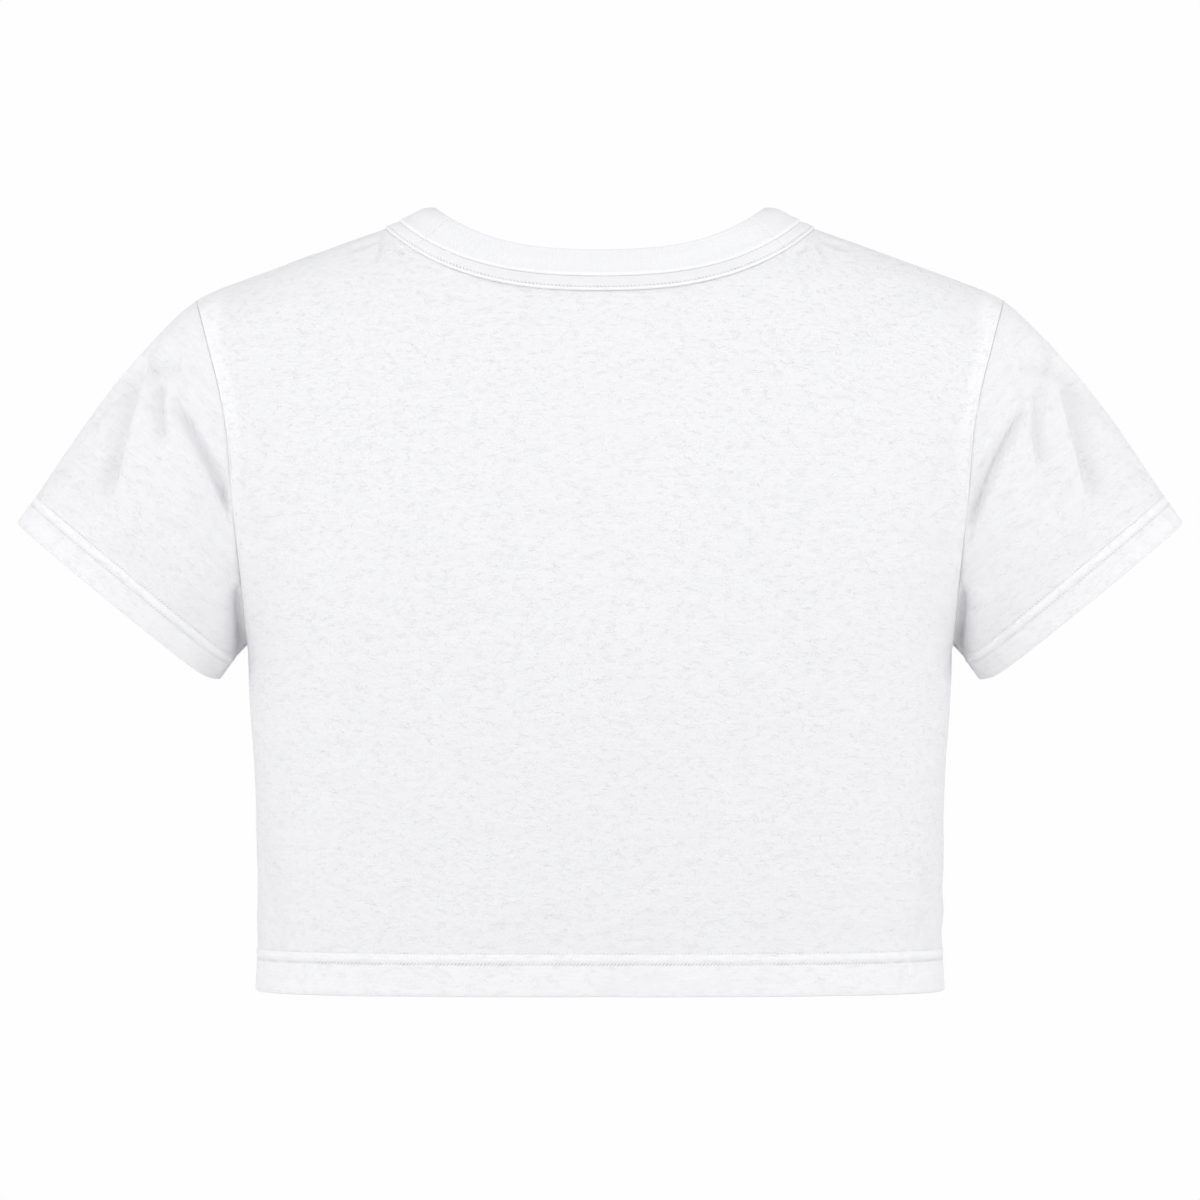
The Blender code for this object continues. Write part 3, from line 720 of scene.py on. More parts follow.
def panel_relief(side, points, rise, armhole_gap, shoulder_gap, side_gap, distance):
    """How far the panel's cloth stands out from its plain form, and how much extra plies and the hem's
    painted light whiten it.
    """
    x, z = points[..., 0], points[..., 2]
    seam_gap = np.minimum(np.minimum(side_gap, shoulder_gap), armhole_gap)
    away = ease(seam_gap / WAVE_FADE)
    relief = -fold_depth(BODY_FOLDS[side], x, z) * ease(seam_gap / FOLD_FADE)
    low, high = BODY_STITCHES
    uneven = 1 + STITCH_UNEVEN * wander(distance, HEM_SEED, longest=STITCH_WAVE)
    relief += hem_relief(rise, low, high, uneven) * at_least(HEM_SIDE_SHARE, ease(side_gap / HEM_SIDE_FADE))
    for height, slant, seed, longest, middle, half_width in HEM_RIPPLES:
        ripple = wander(distance + slant * rise, seed, longest=longest) * bell(rise, middle, half_width)
        relief += height * away * ripple
    for gap in (side_gap, shoulder_gap, armhole_gap):
        relief -= GROOVE * bell(gap, 0.0, GROOVE_WIDTH)
    width = ALLOWANCE * (1 + 0.3 * ramp(-z, *ALLOWANCE_WIDENS))
    armhole = at_least(0.1, ramp(z, *ALLOWANCE_SHOWS)) * allowance_band(armhole_gap, z, ARMHOLE_SEED, width)
    armhole *= at_least(0.2, ramp(shoulder_gap, *ALLOWANCE_CLEAR))
    shoulder = 0.0
    if side == "back":
        shoulder = 0.6 * allowance_band(shoulder_gap, x, SHOULDER_SEED, 0.5 * ALLOWANCE)
    relief += ALLOWANCE_LIFT * np.maximum(armhole, 0.5 * shoulder)
    broad = wander(x + 0.3 * z, BROAD_SEEDS[side], longest=BROAD_LENGTHS[0])
    broad = broad * wander(z - 0.2 * x, BROAD_CROSS_SEED, longest=BROAD_LENGTHS[1])
    relief += BROAD_WAVE * away * broad
    draw = SIDE_DRAW * ramp(-z, *SIDE_DRAW_START) + HEM_DRAW * ramp(-z, *HEM_DRAW_START)
    relief -= draw * bell(side_gap, 0.0, DRAW_REACH)
    ply_and_light = np.maximum(np.maximum(0.75 * armhole, 0.4 * shoulder), hem_ply_and_light(rise, low, high))
    return relief, ply_and_light


def make_panel(side):
    """The panel's shell, how far each point lifts, and the points of its stitch rows."""
    shell = Shell(side + "_panel")
    foot = np.concatenate([NECK_FOOT * neck_shares, NECK_FOOT + (1 - NECK_FOOT) * shoulder_shares])
    s = np.concatenate([-foot[:0:-1], foot])
    half = len(foot) - 1
    turn = np.concatenate([-neck_shares[:0:-1], neck_shares]) * math.pi / 2
    neck = slice(half - len(neck_shares) + 1, half + len(neck_shares))
    top_s, top_w = np.sign(s), np.ones_like(s)
    top_s[neck], top_w[neck] = neck_band(side, turn, 1.0)
    edge = top_s[neck][-1]
    top_s[neck.stop:] = edge + (1 - edge) * shoulder_shares
    top_s[:neck.start] = -top_s[neck.stop:][::-1]
    rows = [body_section(side, s, np.full_like(s, HEM_HEIGHT + rise)) for rise in hem_heights]
    hem_top = HEM_HEIGHT + hem_heights[-1]
    rows += [body_section(side, s, hem_top * (1 - share) + underarm_row_height(s) * share)
             for share in body_shares]
    rows += [sheet(side, s + (top_s - s) * share ** 2, top_w * share) for share in upper_shares]
    points = np.array(rows)
    below = len(hem_heights) + len(body_shares)
    distance = along_path(points, axis=1)
    distance -= distance[:, half:half + 1]
    side_way = np.minimum(np.linalg.norm(points - points[:, :1], axis=-1),
                          np.linalg.norm(points - points[:, -1:], axis=-1))
    row_number = np.arange(len(rows))[:, None]
    armhole_gap = np.where(row_number >= below, side_way, FAR)
    side_gap = np.where(row_number < below, side_way, FAR)
    shoulder_gap = np.linalg.norm(points - points[-1:], axis=-1)
    shoulder_gap[:, neck] = FAR
    rise = points[..., 2] - HEM_HEIGHT
    relief, ply_and_light = panel_relief(side, points, rise, armhole_gap, shoulder_gap, side_gap, distance)
    wall = np.where(row_number < len(hem_heights), HEM_CLOTH, CLOTH)
    bend = ease((points[..., 2] + BEND_HEIGHT) / BEND_HEIGHT) * (BEND_DEPTH - np.abs(points[..., 1]))
    flat = np.stack([distance, rise + 0.5 * bend], axis=-1)
    grid = shell.add_points(points, wall, ply_and_light, flat)
    shell.add_faces(grid, flip=side == "back")
    band = [grid[-1, neck]]
    for share in band_shares:
        row = sheet(side, *neck_band(side, turn, share))[None]
        band.append(shell.add_points(row, CLOTH, 0.0, flat[-1:, neck])[0])
    shell.add_faces(np.array(band), flip=side == "back")
    lift = np.zeros(len(shell.points))
    lift[grid.reshape(-1)] = relief.reshape(-1)
    # the cloth is drawn flat under the strip
    under = np.concatenate(band)
    lift[under] = np.clip(lift[under], -LAID_FLAT, 0.0)
    return shell, lift, [grid[nearest(hem_heights, row)] for row in BODY_STITCHES]


# ---- Sleeve ----
armhole_rows = np.concatenate([[0.0], upper_shares])
sleeve_shares = spaced((0.0, 0.008, 1), (0.008, 0.05, 6), (0.05, 1.0, 50))
cuff_distances = spaced((0.0205, 0.019, 2), (0.019, 0.01, 26), (0.01, 0.0018, 7), (0.0018, 0.0, 1))


def make_sleeve(name, folds, seed):
    """The left sleeve, or the one that is mirrored to the right: its shell, lifts and stitch rows."""
    shell = Shell(name)
    down = armhole_rows[-2:0:-1]
    start = np.concatenate([armhole("back", armhole_rows), armhole("front", down)])
    turn = np.concatenate([armhole_turn("back", armhole_rows), -armhole_turn("front", down)])
    length = np.linalg.norm(cuff(turn) - start, axis=-1)
    hem = np.minimum(cuff_distances[0] / length, SLEEVE_HEM_MOST)
    rings = [sleeve_points(start, turn, (1 - hem) * share) for share in sleeve_shares[:-1]]
    rings += [sleeve_points(start, turn, 1 - hem * gap / cuff_distances[0]) for gap in cuff_distances]
    points = np.array(rings)
    gap = np.linalg.norm(points - points[:1], axis=-1)
    cuff_gap = np.concatenate([np.full(len(sleeve_shares) - 1, FAR), cuff_distances])[:, None]
    cuff_gap = np.broadcast_to(cuff_gap, gap.shape)
    around = along_path(closed(points), axis=1)[:, :-1]
    x, y, z = points[..., 0], points[..., 1], points[..., 2]
    relief = -np.where(y > 0, fold_depth(folds["back"], x, z), fold_depth(folds["front"], x, z))
    off_middle = np.abs(y)
    for distance, clear in zip((off_middle, cuff_gap, gap), FOLD_CLEAR):
        relief *= ramp(distance, *clear)
    low_down = 1.0
    for distance, clear in zip((-z, cuff_gap, off_middle), LOW_CLEAR):
        low_down = low_down * ramp(distance, *clear)
    hollow = bell(gap, 0.0, UNDERARM_HOLLOW_REACH) * ease(gap / UNDERARM_HOLLOW_START)
    relief -= UNDERARM_HOLLOW * low_down * hollow
    relief += UNDERARM_PUFF * low_down * bell(gap, UNDERARM_PUFF_MIDDLE, UNDERARM_PUFF_REACH)
    relief -= GROOVE * bell(gap, 0.0, GROOVE_WIDTH)
    low, high = SLEEVE_STITCHES
    hem_uneven = 1 + 0.3 * wander(around, seed + 2, longest=STITCH_WAVE)
    hem_shape = hem_relief(cuff_gap, low, high, hem_uneven)
    relief += SLEEVE_RELIEF * hem_shape * at_least(0.4, ease(off_middle / HEM_SIDE_FADE))
    height, longest, middle, half_width = CUFF_RIPPLE
    relief += height * wander(around, seed, longest=longest) * bell(cuff_gap, middle, half_width)
    wave = wander(around, seed + 1, longest=SLEEVE_WAVE_LENGTH)
    relief += SLEEVE_WAVE * wave * ease(gap / SLEEVE_WAVE_FADE)
    wall = np.where(np.arange(len(rings))[:, None] >= len(sleeve_shares), HEM_CLOTH, CLOTH)
    travelled = along_path(points)
    flat = np.stack([around, travelled[-1:] - travelled], axis=-1)
    # the cuff's extra hem cloth, with the hem band's painted highlight and shade
    grid = shell.add_points(points, wall, 0.8 * hem_ply_and_light(cuff_gap, low, high), flat)
    shell.add_faces(closed(grid))
    rows = [grid[len(sleeve_shares) - 1 + nearest(cuff_distances, row)] for row in SLEEVE_STITCHES]
    return shell, relief.reshape(-1), rows


def mirror_shell(shell):
    shell.points = shell.points * [-1.0, 1.0, 1.0]
    shell.faces = shell.faces[:, ::-1]


# ---- Collar ----
def neck_loop(piece, pitch):
    """Evenly spaced places along one length of the collar: sides, turns and distances."""
    end = math.pi / 2
    runs = [("back", np.linspace(-JOINT_TURN, JOINT_TURN, 1200))]
    if piece == "front":
        runs = [("back", np.linspace(JOINT_TURN, end, 300)), ("front", np.linspace(end, -end, 1600)[1:]),
                ("back", np.linspace(-end, -JOINT_TURN, 300)[1:])]
    points = np.concatenate([neck_frame(side, turn)[0] for side, turn in runs])
    distance = along_path(points)
    count = int(round(distance[-1] / pitch))
    wanted = np.linspace(0, distance[-1], count + 1)
    loop = []
    first = 0
    for side, turn in runs:
        reach = distance[first:first + len(turn)]
        last = side == runs[-1][0] and turn is runs[-1][1]
        here = wanted[(wanted >= reach[0] - 1e-9) & ((wanted < reach[-1]) | last)]
        loop.append((side, np.interp(here, reach, turn), here))
        first += len(turn)
    return loop


def joint_dip(loop, distance):
    """How far the collar dips at both ends of a length."""
    whole = loop[-1][2][-1]
    return JOINT_DIP * (bell(distance, 0.0, JOINT_REACH) + bell(distance, whole, JOINT_REACH))[:, None]


def sweep(name, rings, flat, ply_and_light):
    """A closed section carried along the neckline, with flat ends."""
    points = rings.reshape(-1, 3)
    grid = np.arange(len(points)).reshape(rings.shape[:2])
    ends = []
    for ring, flip in ((grid[0], True), (grid[-1], False)):
        number = len(points)
        points = np.concatenate([points, points[ring].mean(axis=0)[None]])
        flat = np.concatenate([flat, flat[ring[:1]]])
        for a, b in zip(ring, np.roll(ring, -1)):
            ends.append((b, a, number) if flip else (a, b, number))
    ply_and_light = np.concatenate([ply_and_light.reshape(-1), [0.0, 0.0]])
    piece = add_cloth(name, points, quads(closed(grid)).tolist() + ends, flat, ply_and_light)
    piece.data.set_sharp_from_angle(angle=math.radians(60))
    return piece


def rib_sections(piece):
    """The closed sections of the folded rib band, their places on the flat cloth and their outward ways."""
    rings, flats, ways = [], [], []
    radius = RIB_WALL / 2
    loop = neck_loop(piece, WALE / 8)
    for side, turn, distance in loop:
        base, tangent, _, out = neck_frame(side, turn)
        lean_middle, width_middle = NECK_SIDES[side][2:]
        share = np.abs(np.sin(turn))
        lean = np.radians(lean_middle + (RIB_CORNER_LEAN - lean_middle) * share ** 6)[:, None]
        corner = (share ** 8)[:, None]
        width = width_middle + (RIB_CORNER_WIDTH - width_middle) * share ** 2 + RIB_ROLL_WIDTH * share ** 4
        width = width[:, None]
        plan = unit(vectors(-tangent[:, 1], tangent[:, 0], 0.0)) * SIDES[side]
        up = unit(across(vectors(0.0, 0.0, np.cos(lean[:, 0])) - plan * np.sin(lean), tangent))
        face = unit(across(out, up))
        wales = WALE_DEPTH * np.cos(2 * math.pi * distance / WALE) * (1 - ramp(share, *WALE_FADE))
        wales = (wales * (0.92 + 0.12 * wander(distance, WALE_SEED, longest=0.03)))[:, None]
        joint = joint_dip(loop, distance)

        def place(t, lift):
            roll = RIB_ROLL * corner * max((t - RIB_ROLL_START) / (1 - RIB_ROLL_START), 0.0) ** 2
            bow = RIB_BOW * math.sin(math.pi * t)
            return base + up * width * t + face * (lift + bow - roll - joint)

        ring, spot = [], []
        for t, swell in RIB_FOOT:
            ring.append(place(t, RIB_LIFT + swell + wales * ease(t / 0.1) * ease((1.02 - t) / 0.25)))
            spot.append(width[:, 0] * t)
        over = place(RIB_FOLD, RIB_LIFT)
        run = unit(over - place(RIB_FOOT[-1][0], RIB_LIFT))
        outward = unit(across(face, run))
        middle = over - outward * radius
        for angle in np.radians(RIB_TURNS):
            ring.append(middle + outward * radius * math.cos(angle) + run * radius * math.sin(angle))
            spot.append(width[:, 0] + radius * angle)
        for t in RIB_INSIDE:
            ring.append(place(t, RIB_LIFT - RIB_WALL))
            spot.append(width[:, 0] * (2 - t))
        ring.append(base + up * SEAM_GAP + out * (RIB_LIFT - RIB_WALL))
        spot.append(width[:, 0] * 2)
        rings.append(np.stack(ring, axis=1))
        ways.append(face)
        flats.append(np.stack(np.broadcast_arrays(distance[:, None], np.stack(spot, axis=1)), axis=-1))
    return np.concatenate(rings), np.concatenate(flats), np.concatenate(ways)


def make_rib(piece):
    """The folded rib band with its wales, and the paths of the stitch rows across it at its joints."""
    rings, flats, ways = rib_sections(piece)
    ply_and_light = np.zeros(rings.shape[:2])
    # a painted highlight on the rolled lower edge of the rib, just above its seam
    ply_and_light[:, 1:4] = 0.4, 0.7, 0.5
    cloth = sweep("neck_rib_" + piece, rings, flats.reshape(-1, 2), ply_and_light)
    inward = int(round(JOINT_STITCH / (WALE / 8)))
    rows = []
    for station in (inward, len(rings) - 1 - inward):
        path = rings[station, 1:len(RIB_FOOT) + 2]
        rows.append((path, np.broadcast_to(ways[station], path.shape), along_path(path)))
    return cloth, rows


def make_strip(piece):
    """The flat strip below the rib, and the path of its stitch row."""
    rings, flats, ply_and_light, path, ways = [], [], [], [], []
    loop = neck_loop(piece, STRIP_STEP)
    shares = [share for share, _ in STRIP_OVER]
    place = np.array(shares + list(STRIP_UNDER[::-1])) * STRIP_WIDTH
    # the lip is painted lighter as a painted highlight, the more so where the strip stands free; where it
    # lies flat the whole strip is mixed half way to the lighter white
    lip = [0.9 * (STRIP_LIP[0] < share < STRIP_LIP[1]) for share in shares] + [0.0] * len(STRIP_UNDER)
    stitched = shares.index(STRIP_STITCH)
    for side, turn, distance in loop:
        _, _, down, out = neck_frame(side, turn)
        free = (ease((1.2 - np.abs(turn)) / 0.7) if side == "back" else 0.3 * np.ones_like(turn))[:, None]
        joint = joint_dip(loop, distance)
        over, under = [], []
        for share, lift in STRIP_OVER:
            point = sheet(side, *neck_band(side, turn, share))
            rise = LAY_GAP + STRIP_CURL * free * ramp(share, 0.6, 0.4)
            thin = 1 - 0.45 * (1 - free) * ramp(share, 0.7, 0.2)
            over.append(point + out * (rise + STRIP_WALL * lift * thin - joint))
            if share in STRIP_UNDER:
                under.append(point + out * rise)
        over[-1] = over[-1] + down * SEAM_GAP
        under[-1] = under[-1] + down * SEAM_GAP
        rings.append(np.stack(over + under[::-1], axis=1))
        flats.append(np.stack(np.broadcast_arrays(distance[:, None], place), axis=-1))
        # the lip's painted highlight, and the half-way mix where the strip lies flat
        ply_and_light.append(free * np.array(lip) + 0.5 * (1 - free))
        path.append(over[stitched])
        ways.append(out)
    cloth = sweep("neck_strip_" + piece, np.concatenate(rings), np.concatenate(flats).reshape(-1, 2),
                  np.concatenate(ply_and_light))
    along = np.concatenate([distance for _, _, distance in loop])
    return cloth, [(np.concatenate(path), np.concatenate(ways), along)]


# ---- Stitches ----
def thread_form(pitch):
    """The points of one thread, along it, beside it and up, and its faces."""
    turns = 2 * math.pi * np.arange(STITCH_SIDES) / STITCH_SIDES
    points = [(along, size * math.cos(a), size * math.sin(a)) for along, size in STITCH_RINGS for a in turns]
    tail, head = len(points), len(points) + 1
    grid = closed(np.arange(tail).reshape(-1, STITCH_SIDES))
    faces = quads(grid).tolist()
    for a, b, c, d in zip(grid[0], grid[0, 1:], grid[-1], grid[-1, 1:]):
        faces += [(tail, b, a), (head, c, d)]
    points = np.array(points + [(-0.5, 0.0, 0.0), (0.5, 0.0, 0.0)])
    return points * [STITCH_LENGTH * pitch / STITCH_PITCH, STITCH_WIDTH / 2, STITCH_HEIGHT], faces


def stitch_row(name, paths, pitch=STITCH_PITCH):
    """Rows of short slanted threads, each half sunk into the cloth.

    Each path has its points, the ways out of the cloth and the distances along the cloth, and the threads
    lie midway between whole pitches of that distance."""
    form, form_faces = thread_form(pitch)
    threads = []
    for path, ways, distance in paths:
        first, final = np.ceil(distance[0] / pitch), np.floor(distance[-1] / pitch)
        middles = (np.arange(first, final) + 0.5) * pitch
        spot, ahead, behind, up = (
            np.stack([np.interp(middles + shift, distance, values[:, k]) for k in range(3)], axis=-1)
            for values, shift in ((path, 0.0), (path, pitch / 3), (path, -pitch / 3), (ways, 0.0)))
        up = unit(up)
        run = unit(across(ahead - behind, up))
        run = unit(run + np.cross(up, run) * STITCH_SLANT)
        threads.append(spot[:, None] + sum(form[:, k, None] * way[:, None]
                                           for k, way in enumerate((run, np.cross(up, run), up))))
    points = np.concatenate(threads).reshape(-1, 3)
    faces = [tuple(int(first + k) for k in face)
             for first in range(0, len(points), len(form)) for face in form_faces]
    return add_mesh(name, points.tolist(), faces)


# ---- Materials ----
# slant of the painted shade in the notches between stitches
NOTCH_SHADE_SLANT = 0.9
SPECULAR = 0.2
# the cloth's uneven tones: length along its courses, height and turn, then detail, roughness and distortion
TONES = {
    "streaks": (0.0105, 0.0011, 0.0, 3.0, 0.6, 0.6),
    "short": (0.003675, 0.00099, 0.04, 2.0, 0.6, 1.1),
    "clouds": (0.04, 0.007, 0.0, 2.0, 0.5, 0.4),
    "loops": (0.0006, 0.0008, 0.0, 1.0, 0.5, 0.0),
    # pits, contour and patches make the small pits and crinkle squiggles, whose shade is painted darker
    "pits": (0.0021, 0.0012, 0.3, 1.0, 0.5, 1.2),
    "contour": (0.0052, 0.0022, 0.0, 1.0, 0.5, 1.6),
    "patches": (0.006, 0.0036, 0.5, 1.0, 0.5, 0.0),
    "strength": (0.009, 0.02, 0.0, 1.0, 0.5, 0.0),
}


class Tree:
    """The node tree of a material or world, and short ways to add to it."""

    def __init__(self, owner):
        owner.use_nodes = True
        self.nodes = owner.node_tree.nodes
        self.links = owner.node_tree.links

    def feed(self, value, socket):
        if isinstance(value, bpy.types.NodeSocket):
            self.links.new(value, socket)
        else:
            socket.default_value = value

    def fill(self, node, *inputs, **named):
        """Feeds a node's sockets in order, or by a capital name; small names are the node's settings."""
        for key, value in named.items():
            if key.islower():
                setattr(node, key, value)
            else:
                self.feed(value, node.inputs[key.replace("_", " ")])
        for value, socket in zip(inputs, node.inputs):
            self.feed(value, socket)
        return node

    def add(self, kind, *inputs, **named):
        return self.fill(self.nodes.new(kind), *inputs, **named)

    def maths(self, operation, *values):
        return self.add("ShaderNodeMath", *values, operation=operation).outputs[0]

    def remap(self, value, low, high, out_low=0.0, out_high=1.0, kind="LINEAR"):
        node = self.add("ShaderNodeMapRange", value, low, high, out_low, out_high, interpolation_type=kind)
        return node.outputs[0]

    def weighted(self, *pairs):
        """The sum of values, each multiplied by its weight."""
        total = 0.0
        for value, weight in pairs:
            total = self.maths("MULTIPLY_ADD", value, weight, total)
        return total


def cloth_material(name, single, plied_and_lit, slub, rows=(), crinkle=1.0, bump=0.00021):
    """Knitted cloth: slubs along the courses, small crinkles and pits with painted shade in them, a fine loop
    grain, and painted shade in the slanted notches between the threads of each stitch row.

    Its two colours are for one layer, and for where more layers back it and painted light lightens it;
    rows has the height of each stitch row above the cloth's edge, and how dark and how long the painted
    shade in its notches is."""
    material = bpy.data.materials.new(name)
    tree = Tree(material)
    place = tree.add("ShaderNodeUVMap", uv_map="cloth").outputs["UV"]

    def noise(tone):
        length, height, turn, detail, roughness, distortion = TONES[tone]
        scaled = tree.add("ShaderNodeMapping", Vector=place, Rotation=(0.0, 0.0, turn),
                          Scale=(1 / length, 1 / height, 1.0)).outputs[0]
        return tree.add("ShaderNodeTexNoise", noise_dimensions="2D", Vector=scaled, Scale=1.0, Detail=detail,
                        Roughness=roughness, Distortion=distortion).outputs["Fac"]

    streaks, short, clouds, loops = (noise(tone) for tone in ("streaks", "short", "clouds", "loops"))
    # painted shade: the small pits and crinkle squiggles are painted darker, and the bump draws them in
    pits = tree.remap(noise("pits"), 0.68, 0.76)
    contour = tree.maths("SUBTRACT", noise("contour"), 0.5)
    here = tree.remap(noise("patches"), 0.5, 0.62)
    line = tree.remap(tree.maths("ABSOLUTE", contour), 0.0, 0.03, 1.0, 0.0)
    shaded_squiggle = tree.maths("MULTIPLY", line, here)
    # darkening: the slub's random tones and loop grain, plus painted shade in the pits, crinkles and stitch
    # notches
    tone_loss_and_shade = tree.weighted(
        (tree.remap(streaks, 0.32, 0.68), slub), (tree.remap(short, 0.35, 0.7), 0.5 * slub),
        (tree.remap(clouds, 0.3, 0.7), 0.8 * slub), (pits, 0.35 * slub * crinkle),
        (shaded_squiggle, 0.3 * slub * crinkle), (tree.remap(loops, 0.3, 0.7), 0.016))
    relief = tree.weighted((streaks, 0.6), (short, 0.5), (pits, -0.5 * crinkle), (shaded_squiggle, -0.45 * crinkle),
                           (loops, 0.35))
    along, height, _ = tree.add("ShaderNodeSeparateXYZ", place).outputs
    strength = tree.remap(noise("strength"), 0.35, 0.65, 0.5, 1.2)
    # painted shade in the slanted notches between the stitches of each row; the bump draws them in too
    for row, dark, reach in rows:
        off = tree.maths("SUBTRACT", height, row)
        slanted = tree.maths("MULTIPLY_ADD", off, NOTCH_SHADE_SLANT, along)
        beat = tree.maths("COSINE", tree.maths("MULTIPLY", slanted, 2 * math.pi / STITCH_PITCH))
        near = tree.remap(tree.maths("ABSOLUTE", off), 0.3 * reach, reach, 1.0, 0.0)
        notch_shade = tree.maths("MULTIPLY", tree.maths("MULTIPLY", tree.remap(beat, 0.0, 0.8), near), strength)
        tone_loss_and_shade = tree.maths("MULTIPLY_ADD", notch_shade, dark, tone_loss_and_shade)
        relief = tree.maths("MULTIPLY_ADD", notch_shade, -2.0 * dark, relief)
    # share of the whiter colour: extra plies of cloth, and painted highlights on the hem band, strip lip and
    # rib edge
    ply_and_light_share = tree.add("ShaderNodeAttribute", attribute_name="ply_and_light").outputs["Fac"]
    mix = tree.add("ShaderNodeMix", data_type="RGBA", A=single, B=plied_and_lit, Factor=ply_and_light_share)
    shade = tree.add("ShaderNodeVectorMath", operation="SCALE", Vector=mix.outputs["Result"],
                     Scale=tree.maths("SUBTRACT", 1.0 + 1.1 * slub, tone_loss_and_shade))
    uneven = tree.add("ShaderNodeBump", Strength=0.8, Distance=bump, Height=relief)
    tree.fill(tree.nodes["Principled BSDF"], Base_Color=shade.outputs["Vector"],
              Normal=uneven.outputs["Normal"], Roughness=0.9, Specular_IOR_Level=SPECULAR, Sheen_Weight=0.02,
              Sheen_Roughness=0.5)
    return material


def plain_material(name, colour, roughness, grain, depth):
    """A matt surface with a faint uneven tone, for thread and for the floor."""
    material = bpy.data.materials.new(name)
    tree = Tree(material)
    place = tree.add("ShaderNodeTexCoord").outputs["Object"]
    tone = tree.add("ShaderNodeTexNoise", Vector=place, Scale=1 / grain, Detail=2.0)
    darker = tuple(channel * (1 - depth) for channel in colour[:3]) + (1.0,)
    mix = tree.add("ShaderNodeMix", data_type="RGBA", A=colour, B=darker, Factor=tone.outputs["Fac"])
    tree.fill(tree.nodes["Principled BSDF"], Base_Color=mix.outputs["Result"], Roughness=roughness,
              Specular_IOR_Level=SPECULAR)
    return material


WHITE = (0.784, 0.784, 0.799, 1.0)
# whiter colour where more plies back the cloth, also used for painted highlights
WHITE_PLIED_AND_LIT = (0.85, 0.85, 0.865, 1.0)
# the strip's white, painted darker as painted shade cast by the rib above it
STRIP_SHADED_WHITE = (0.762, 0.762, 0.777, 1.0)
# each stitch row: its height, and the darkness and reach of the painted shade in its notches
body_jersey = cloth_material("body_jersey", WHITE, WHITE_PLIED_AND_LIT, 0.018,
                             rows=[(BODY_STITCHES[0], 0.24, 0.001), (BODY_STITCHES[1], 0.18, 0.00055)])
sleeve_jersey = cloth_material("sleeve_jersey", WHITE, WHITE_PLIED_AND_LIT, 0.026,
                               rows=[(SLEEVE_STITCHES[0], 0.18, 0.00055),
                                     (SLEEVE_STITCHES[1], 0.22, 0.0005)])
strip_jersey = cloth_material("strip_jersey", STRIP_SHADED_WHITE, WHITE_PLIED_AND_LIT, 0.02,
                              rows=[(STRIP_STITCH * STRIP_WIDTH, 0.26, 0.00085)], crinkle=0.4, bump=0.00014)
RIB_WHITE = (0.795, 0.795, 0.81, 1.0)
rib_cloth = cloth_material("rib_knit", RIB_WHITE, WHITE_PLIED_AND_LIT, 0.015, crinkle=0.3, bump=0.00012)
thread = plain_material("white_thread", (0.8, 0.8, 0.815, 1.0), 0.6, grain=0.0006, depth=0.03)


# ---- Build ----
def settle(piece, material):
    piece.data.materials.append(material)
    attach(piece, BODY)


sewn = [make_panel(side) for side in SIDES]
sewn.append(make_sleeve("sleeve_left", LEFT_SLEEVE_FOLDS, SLEEVE_SEEDS["left"]))
sewn.append(make_sleeve("sleeve_right", RIGHT_SLEEVE_FOLDS, SLEEVE_SEEDS["right"]))
mirror_shell(sewn[-1][0])
shells = [shell for shell, _, _ in sewn]
normals = meeting_normals(shells)
for shell, lift, _ in sewn:
    shell.points = shell.points + normals[shell.name] * lift[:, None]
    tip_x = np.abs(shell.points[:, 0]) - SHOULDER_TIP
    tip_z = shell.points[:, 2] - ridge_height(SHOULDER_TIP)
    shell.points[:, 2] -= TIP_DROP * bell(np.hypot(tip_x, tip_z), 0.0, TIP_REACH)
normals = meeting_normals(shells)
made = {shell.name: close_shell(shell, normals[shell.name]) for shell in shells}

stitches = {}
for shell, _, rows in sewn:
    paths = [(shell.points[row], normals[shell.name][row], shell.flat[row, 0]) for row in rows]
    stitches[shell.name] = stitch_row(shell.name.replace("_panel", "") + "_hem_stitches", paths)
for piece in SIDES:
    made["neck_rib_" + piece], rows = make_rib(piece)
    if piece == "back":
        stitches["neck_rib_back"] = stitch_row("neck_joint_stitches", rows, JOINT_PITCH)
    strip = "neck_strip_" + piece
    made[strip], rows = make_strip(piece)
    stitches[strip] = stitch_row(strip + "_stitches", rows)

# node: material, slot, flat width, flat length, flat area, how it is held
SHEETS = {
    "back_panel": (body_jersey, "jersey", 0.46, 0.372, 0.158, "hung"),
    "front_panel": (body_jersey, "jersey", 0.47, 0.36, 0.155, "hung"),
    "sleeve_left": (sleeve_jersey, "jersey", 0.385, 0.15, 0.033, "hung"),
    "sleeve_right": (sleeve_jersey, "jersey", 0.385, 0.15, 0.033, "hung"),
    "neck_strip_back": (strip_jersey, "jersey", 0.236, 0.01, 0.0018, "stretched"),
    "neck_strip_front": (strip_jersey, "jersey", 0.5, 0.01, 0.0038, "stretched"),
    "neck_rib_back": (rib_cloth, "rib", 0.225, 0.017, None, "stretched"),
    "neck_rib_front": (rib_cloth, "rib", 0.47, 0.0172, None, "stretched"),
}
for node, (material, slot, width, length, area, held) in SHEETS.items():
    cloth = made[node]
    settle(cloth, material)
    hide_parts(node)
    if node in stitches:
        settle(stitches[node], thread)


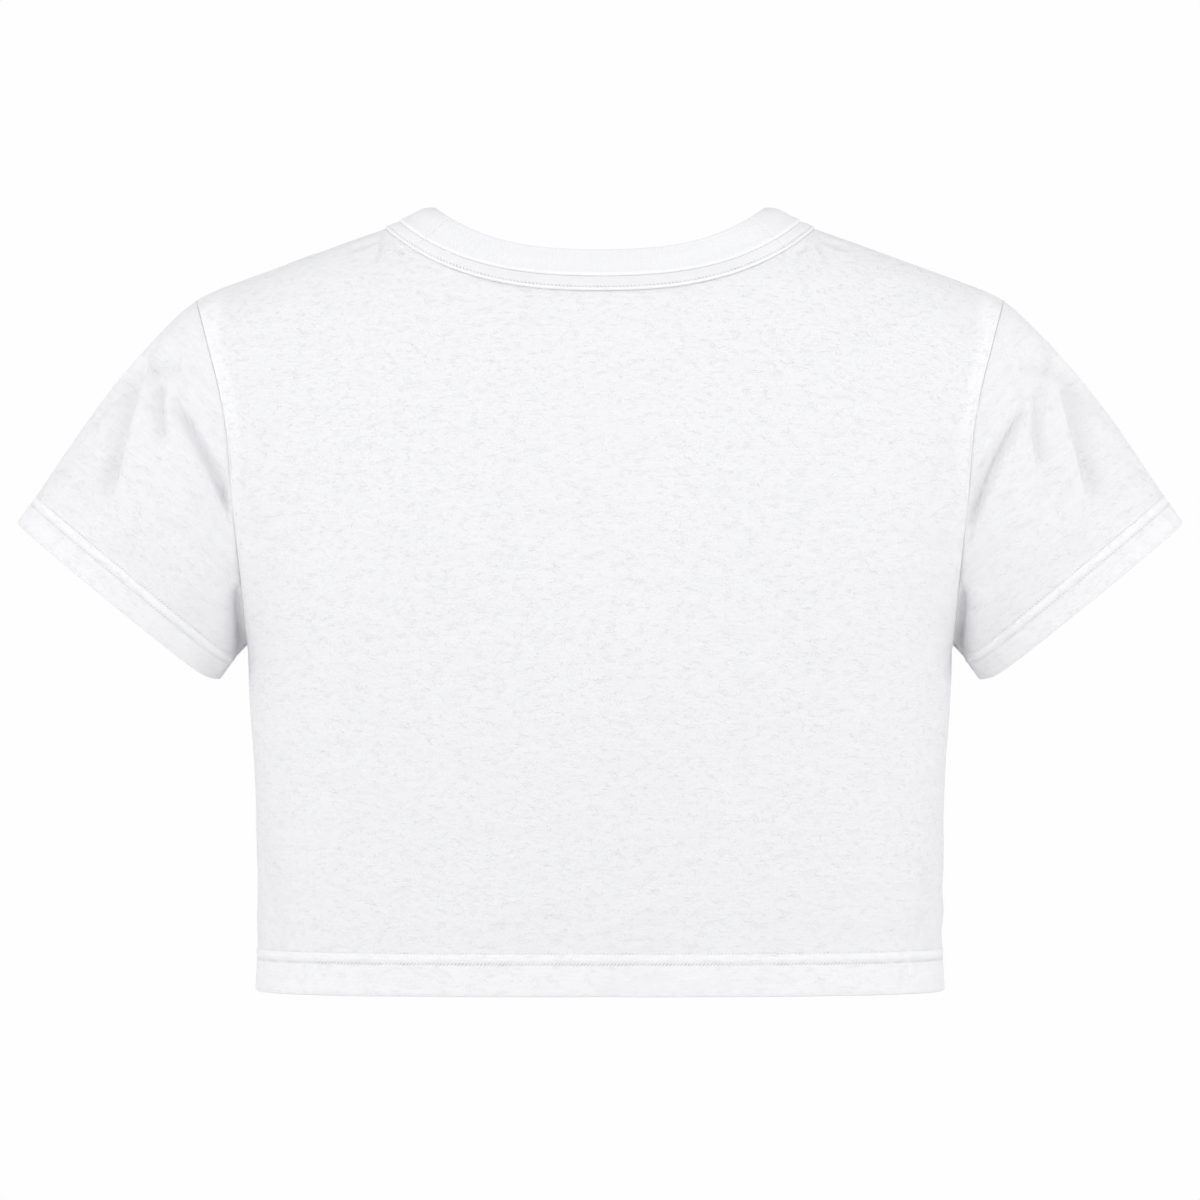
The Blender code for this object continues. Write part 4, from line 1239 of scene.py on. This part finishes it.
# ---- Floor, light and camera ----
CAMERA_HEIGHT = -0.1855
CAMERA_DISTANCE = 4.0
VIEW_WIDTH = 0.5952  # width of the picture at the middle of the body
FLOOR_HEIGHT = -0.78
FLOOR_SIZE = 7.6
SENSOR_WIDTH = 36.0  # millimetres
BACKDROP = 0.99  # brightness of the plain background
PURE_WHITE = (1.0, 1.0, 1.0, 1.0)
# The studio's light: an even glow, and soft light from the camera's half of the room and round to the
# sides, both weaker from above. The limits are how far a direction points to that side, or up, from -1 to 1.
GLOW = 0.96
FRONT_LIGHT = (-0.75, -0.35)
FRONT_STRENGTH = 1.46
OVERHEAD = (-0.153, 0.424)
OVERHEAD_LOSS = 0.6

bpy.ops.mesh.primitive_plane_add(size=FLOOR_SIZE, location=(0.0, 0.0, FLOOR_HEIGHT))
floor = bpy.context.object
floor.name = "floor"
pale = plain_material("pale_floor", (0.95, 0.95, 0.95, 1.0), 0.9, grain=0.05, depth=0.01)
floor.data.materials.append(pale)

world = bpy.data.worlds.new("studio")
bpy.context.scene.world = world
sky = Tree(world)
direction = sky.add("ShaderNodeTexCoord").outputs["Generated"]
_, to_camera, upward = sky.add("ShaderNodeSeparateXYZ", direction).outputs
front = sky.remap(to_camera, *FRONT_LIGHT, 0.0, FRONT_STRENGTH, "SMOOTHSTEP")
loss = sky.remap(upward, *OVERHEAD, 0.0, OVERHEAD_LOSS, "SMOOTHSTEP")
light = sky.maths("MULTIPLY", sky.maths("ADD", front, GLOW), sky.maths("SUBTRACT", 1.0, loss))
soft = sky.fill(sky.nodes["Background"], PURE_WHITE, light)
seen = sky.add("ShaderNodeBackground", PURE_WHITE, BACKDROP)
camera_ray = sky.add("ShaderNodeLightPath").outputs["Is Camera Ray"]
choice = sky.add("ShaderNodeMixShader", camera_ray, soft.outputs[0], seen.outputs[0])
sky.fill(sky.nodes["World Output"], Surface=choice.outputs[0])

camera_data = bpy.data.cameras.new("camera")
camera_data.sensor_width = SENSOR_WIDTH
camera_data.lens = SENSOR_WIDTH * CAMERA_DISTANCE / VIEW_WIDTH
camera = bpy.data.objects.new("camera", camera_data)
camera.location = (0.0, CAMERA_DISTANCE, CAMERA_HEIGHT)
camera.rotation_euler = (math.radians(90), 0.0, math.radians(180))
bpy.context.scene.collection.objects.link(camera)
bpy.context.scene.camera = camera
bpy.context.scene.view_settings.view_transform = "Standard"
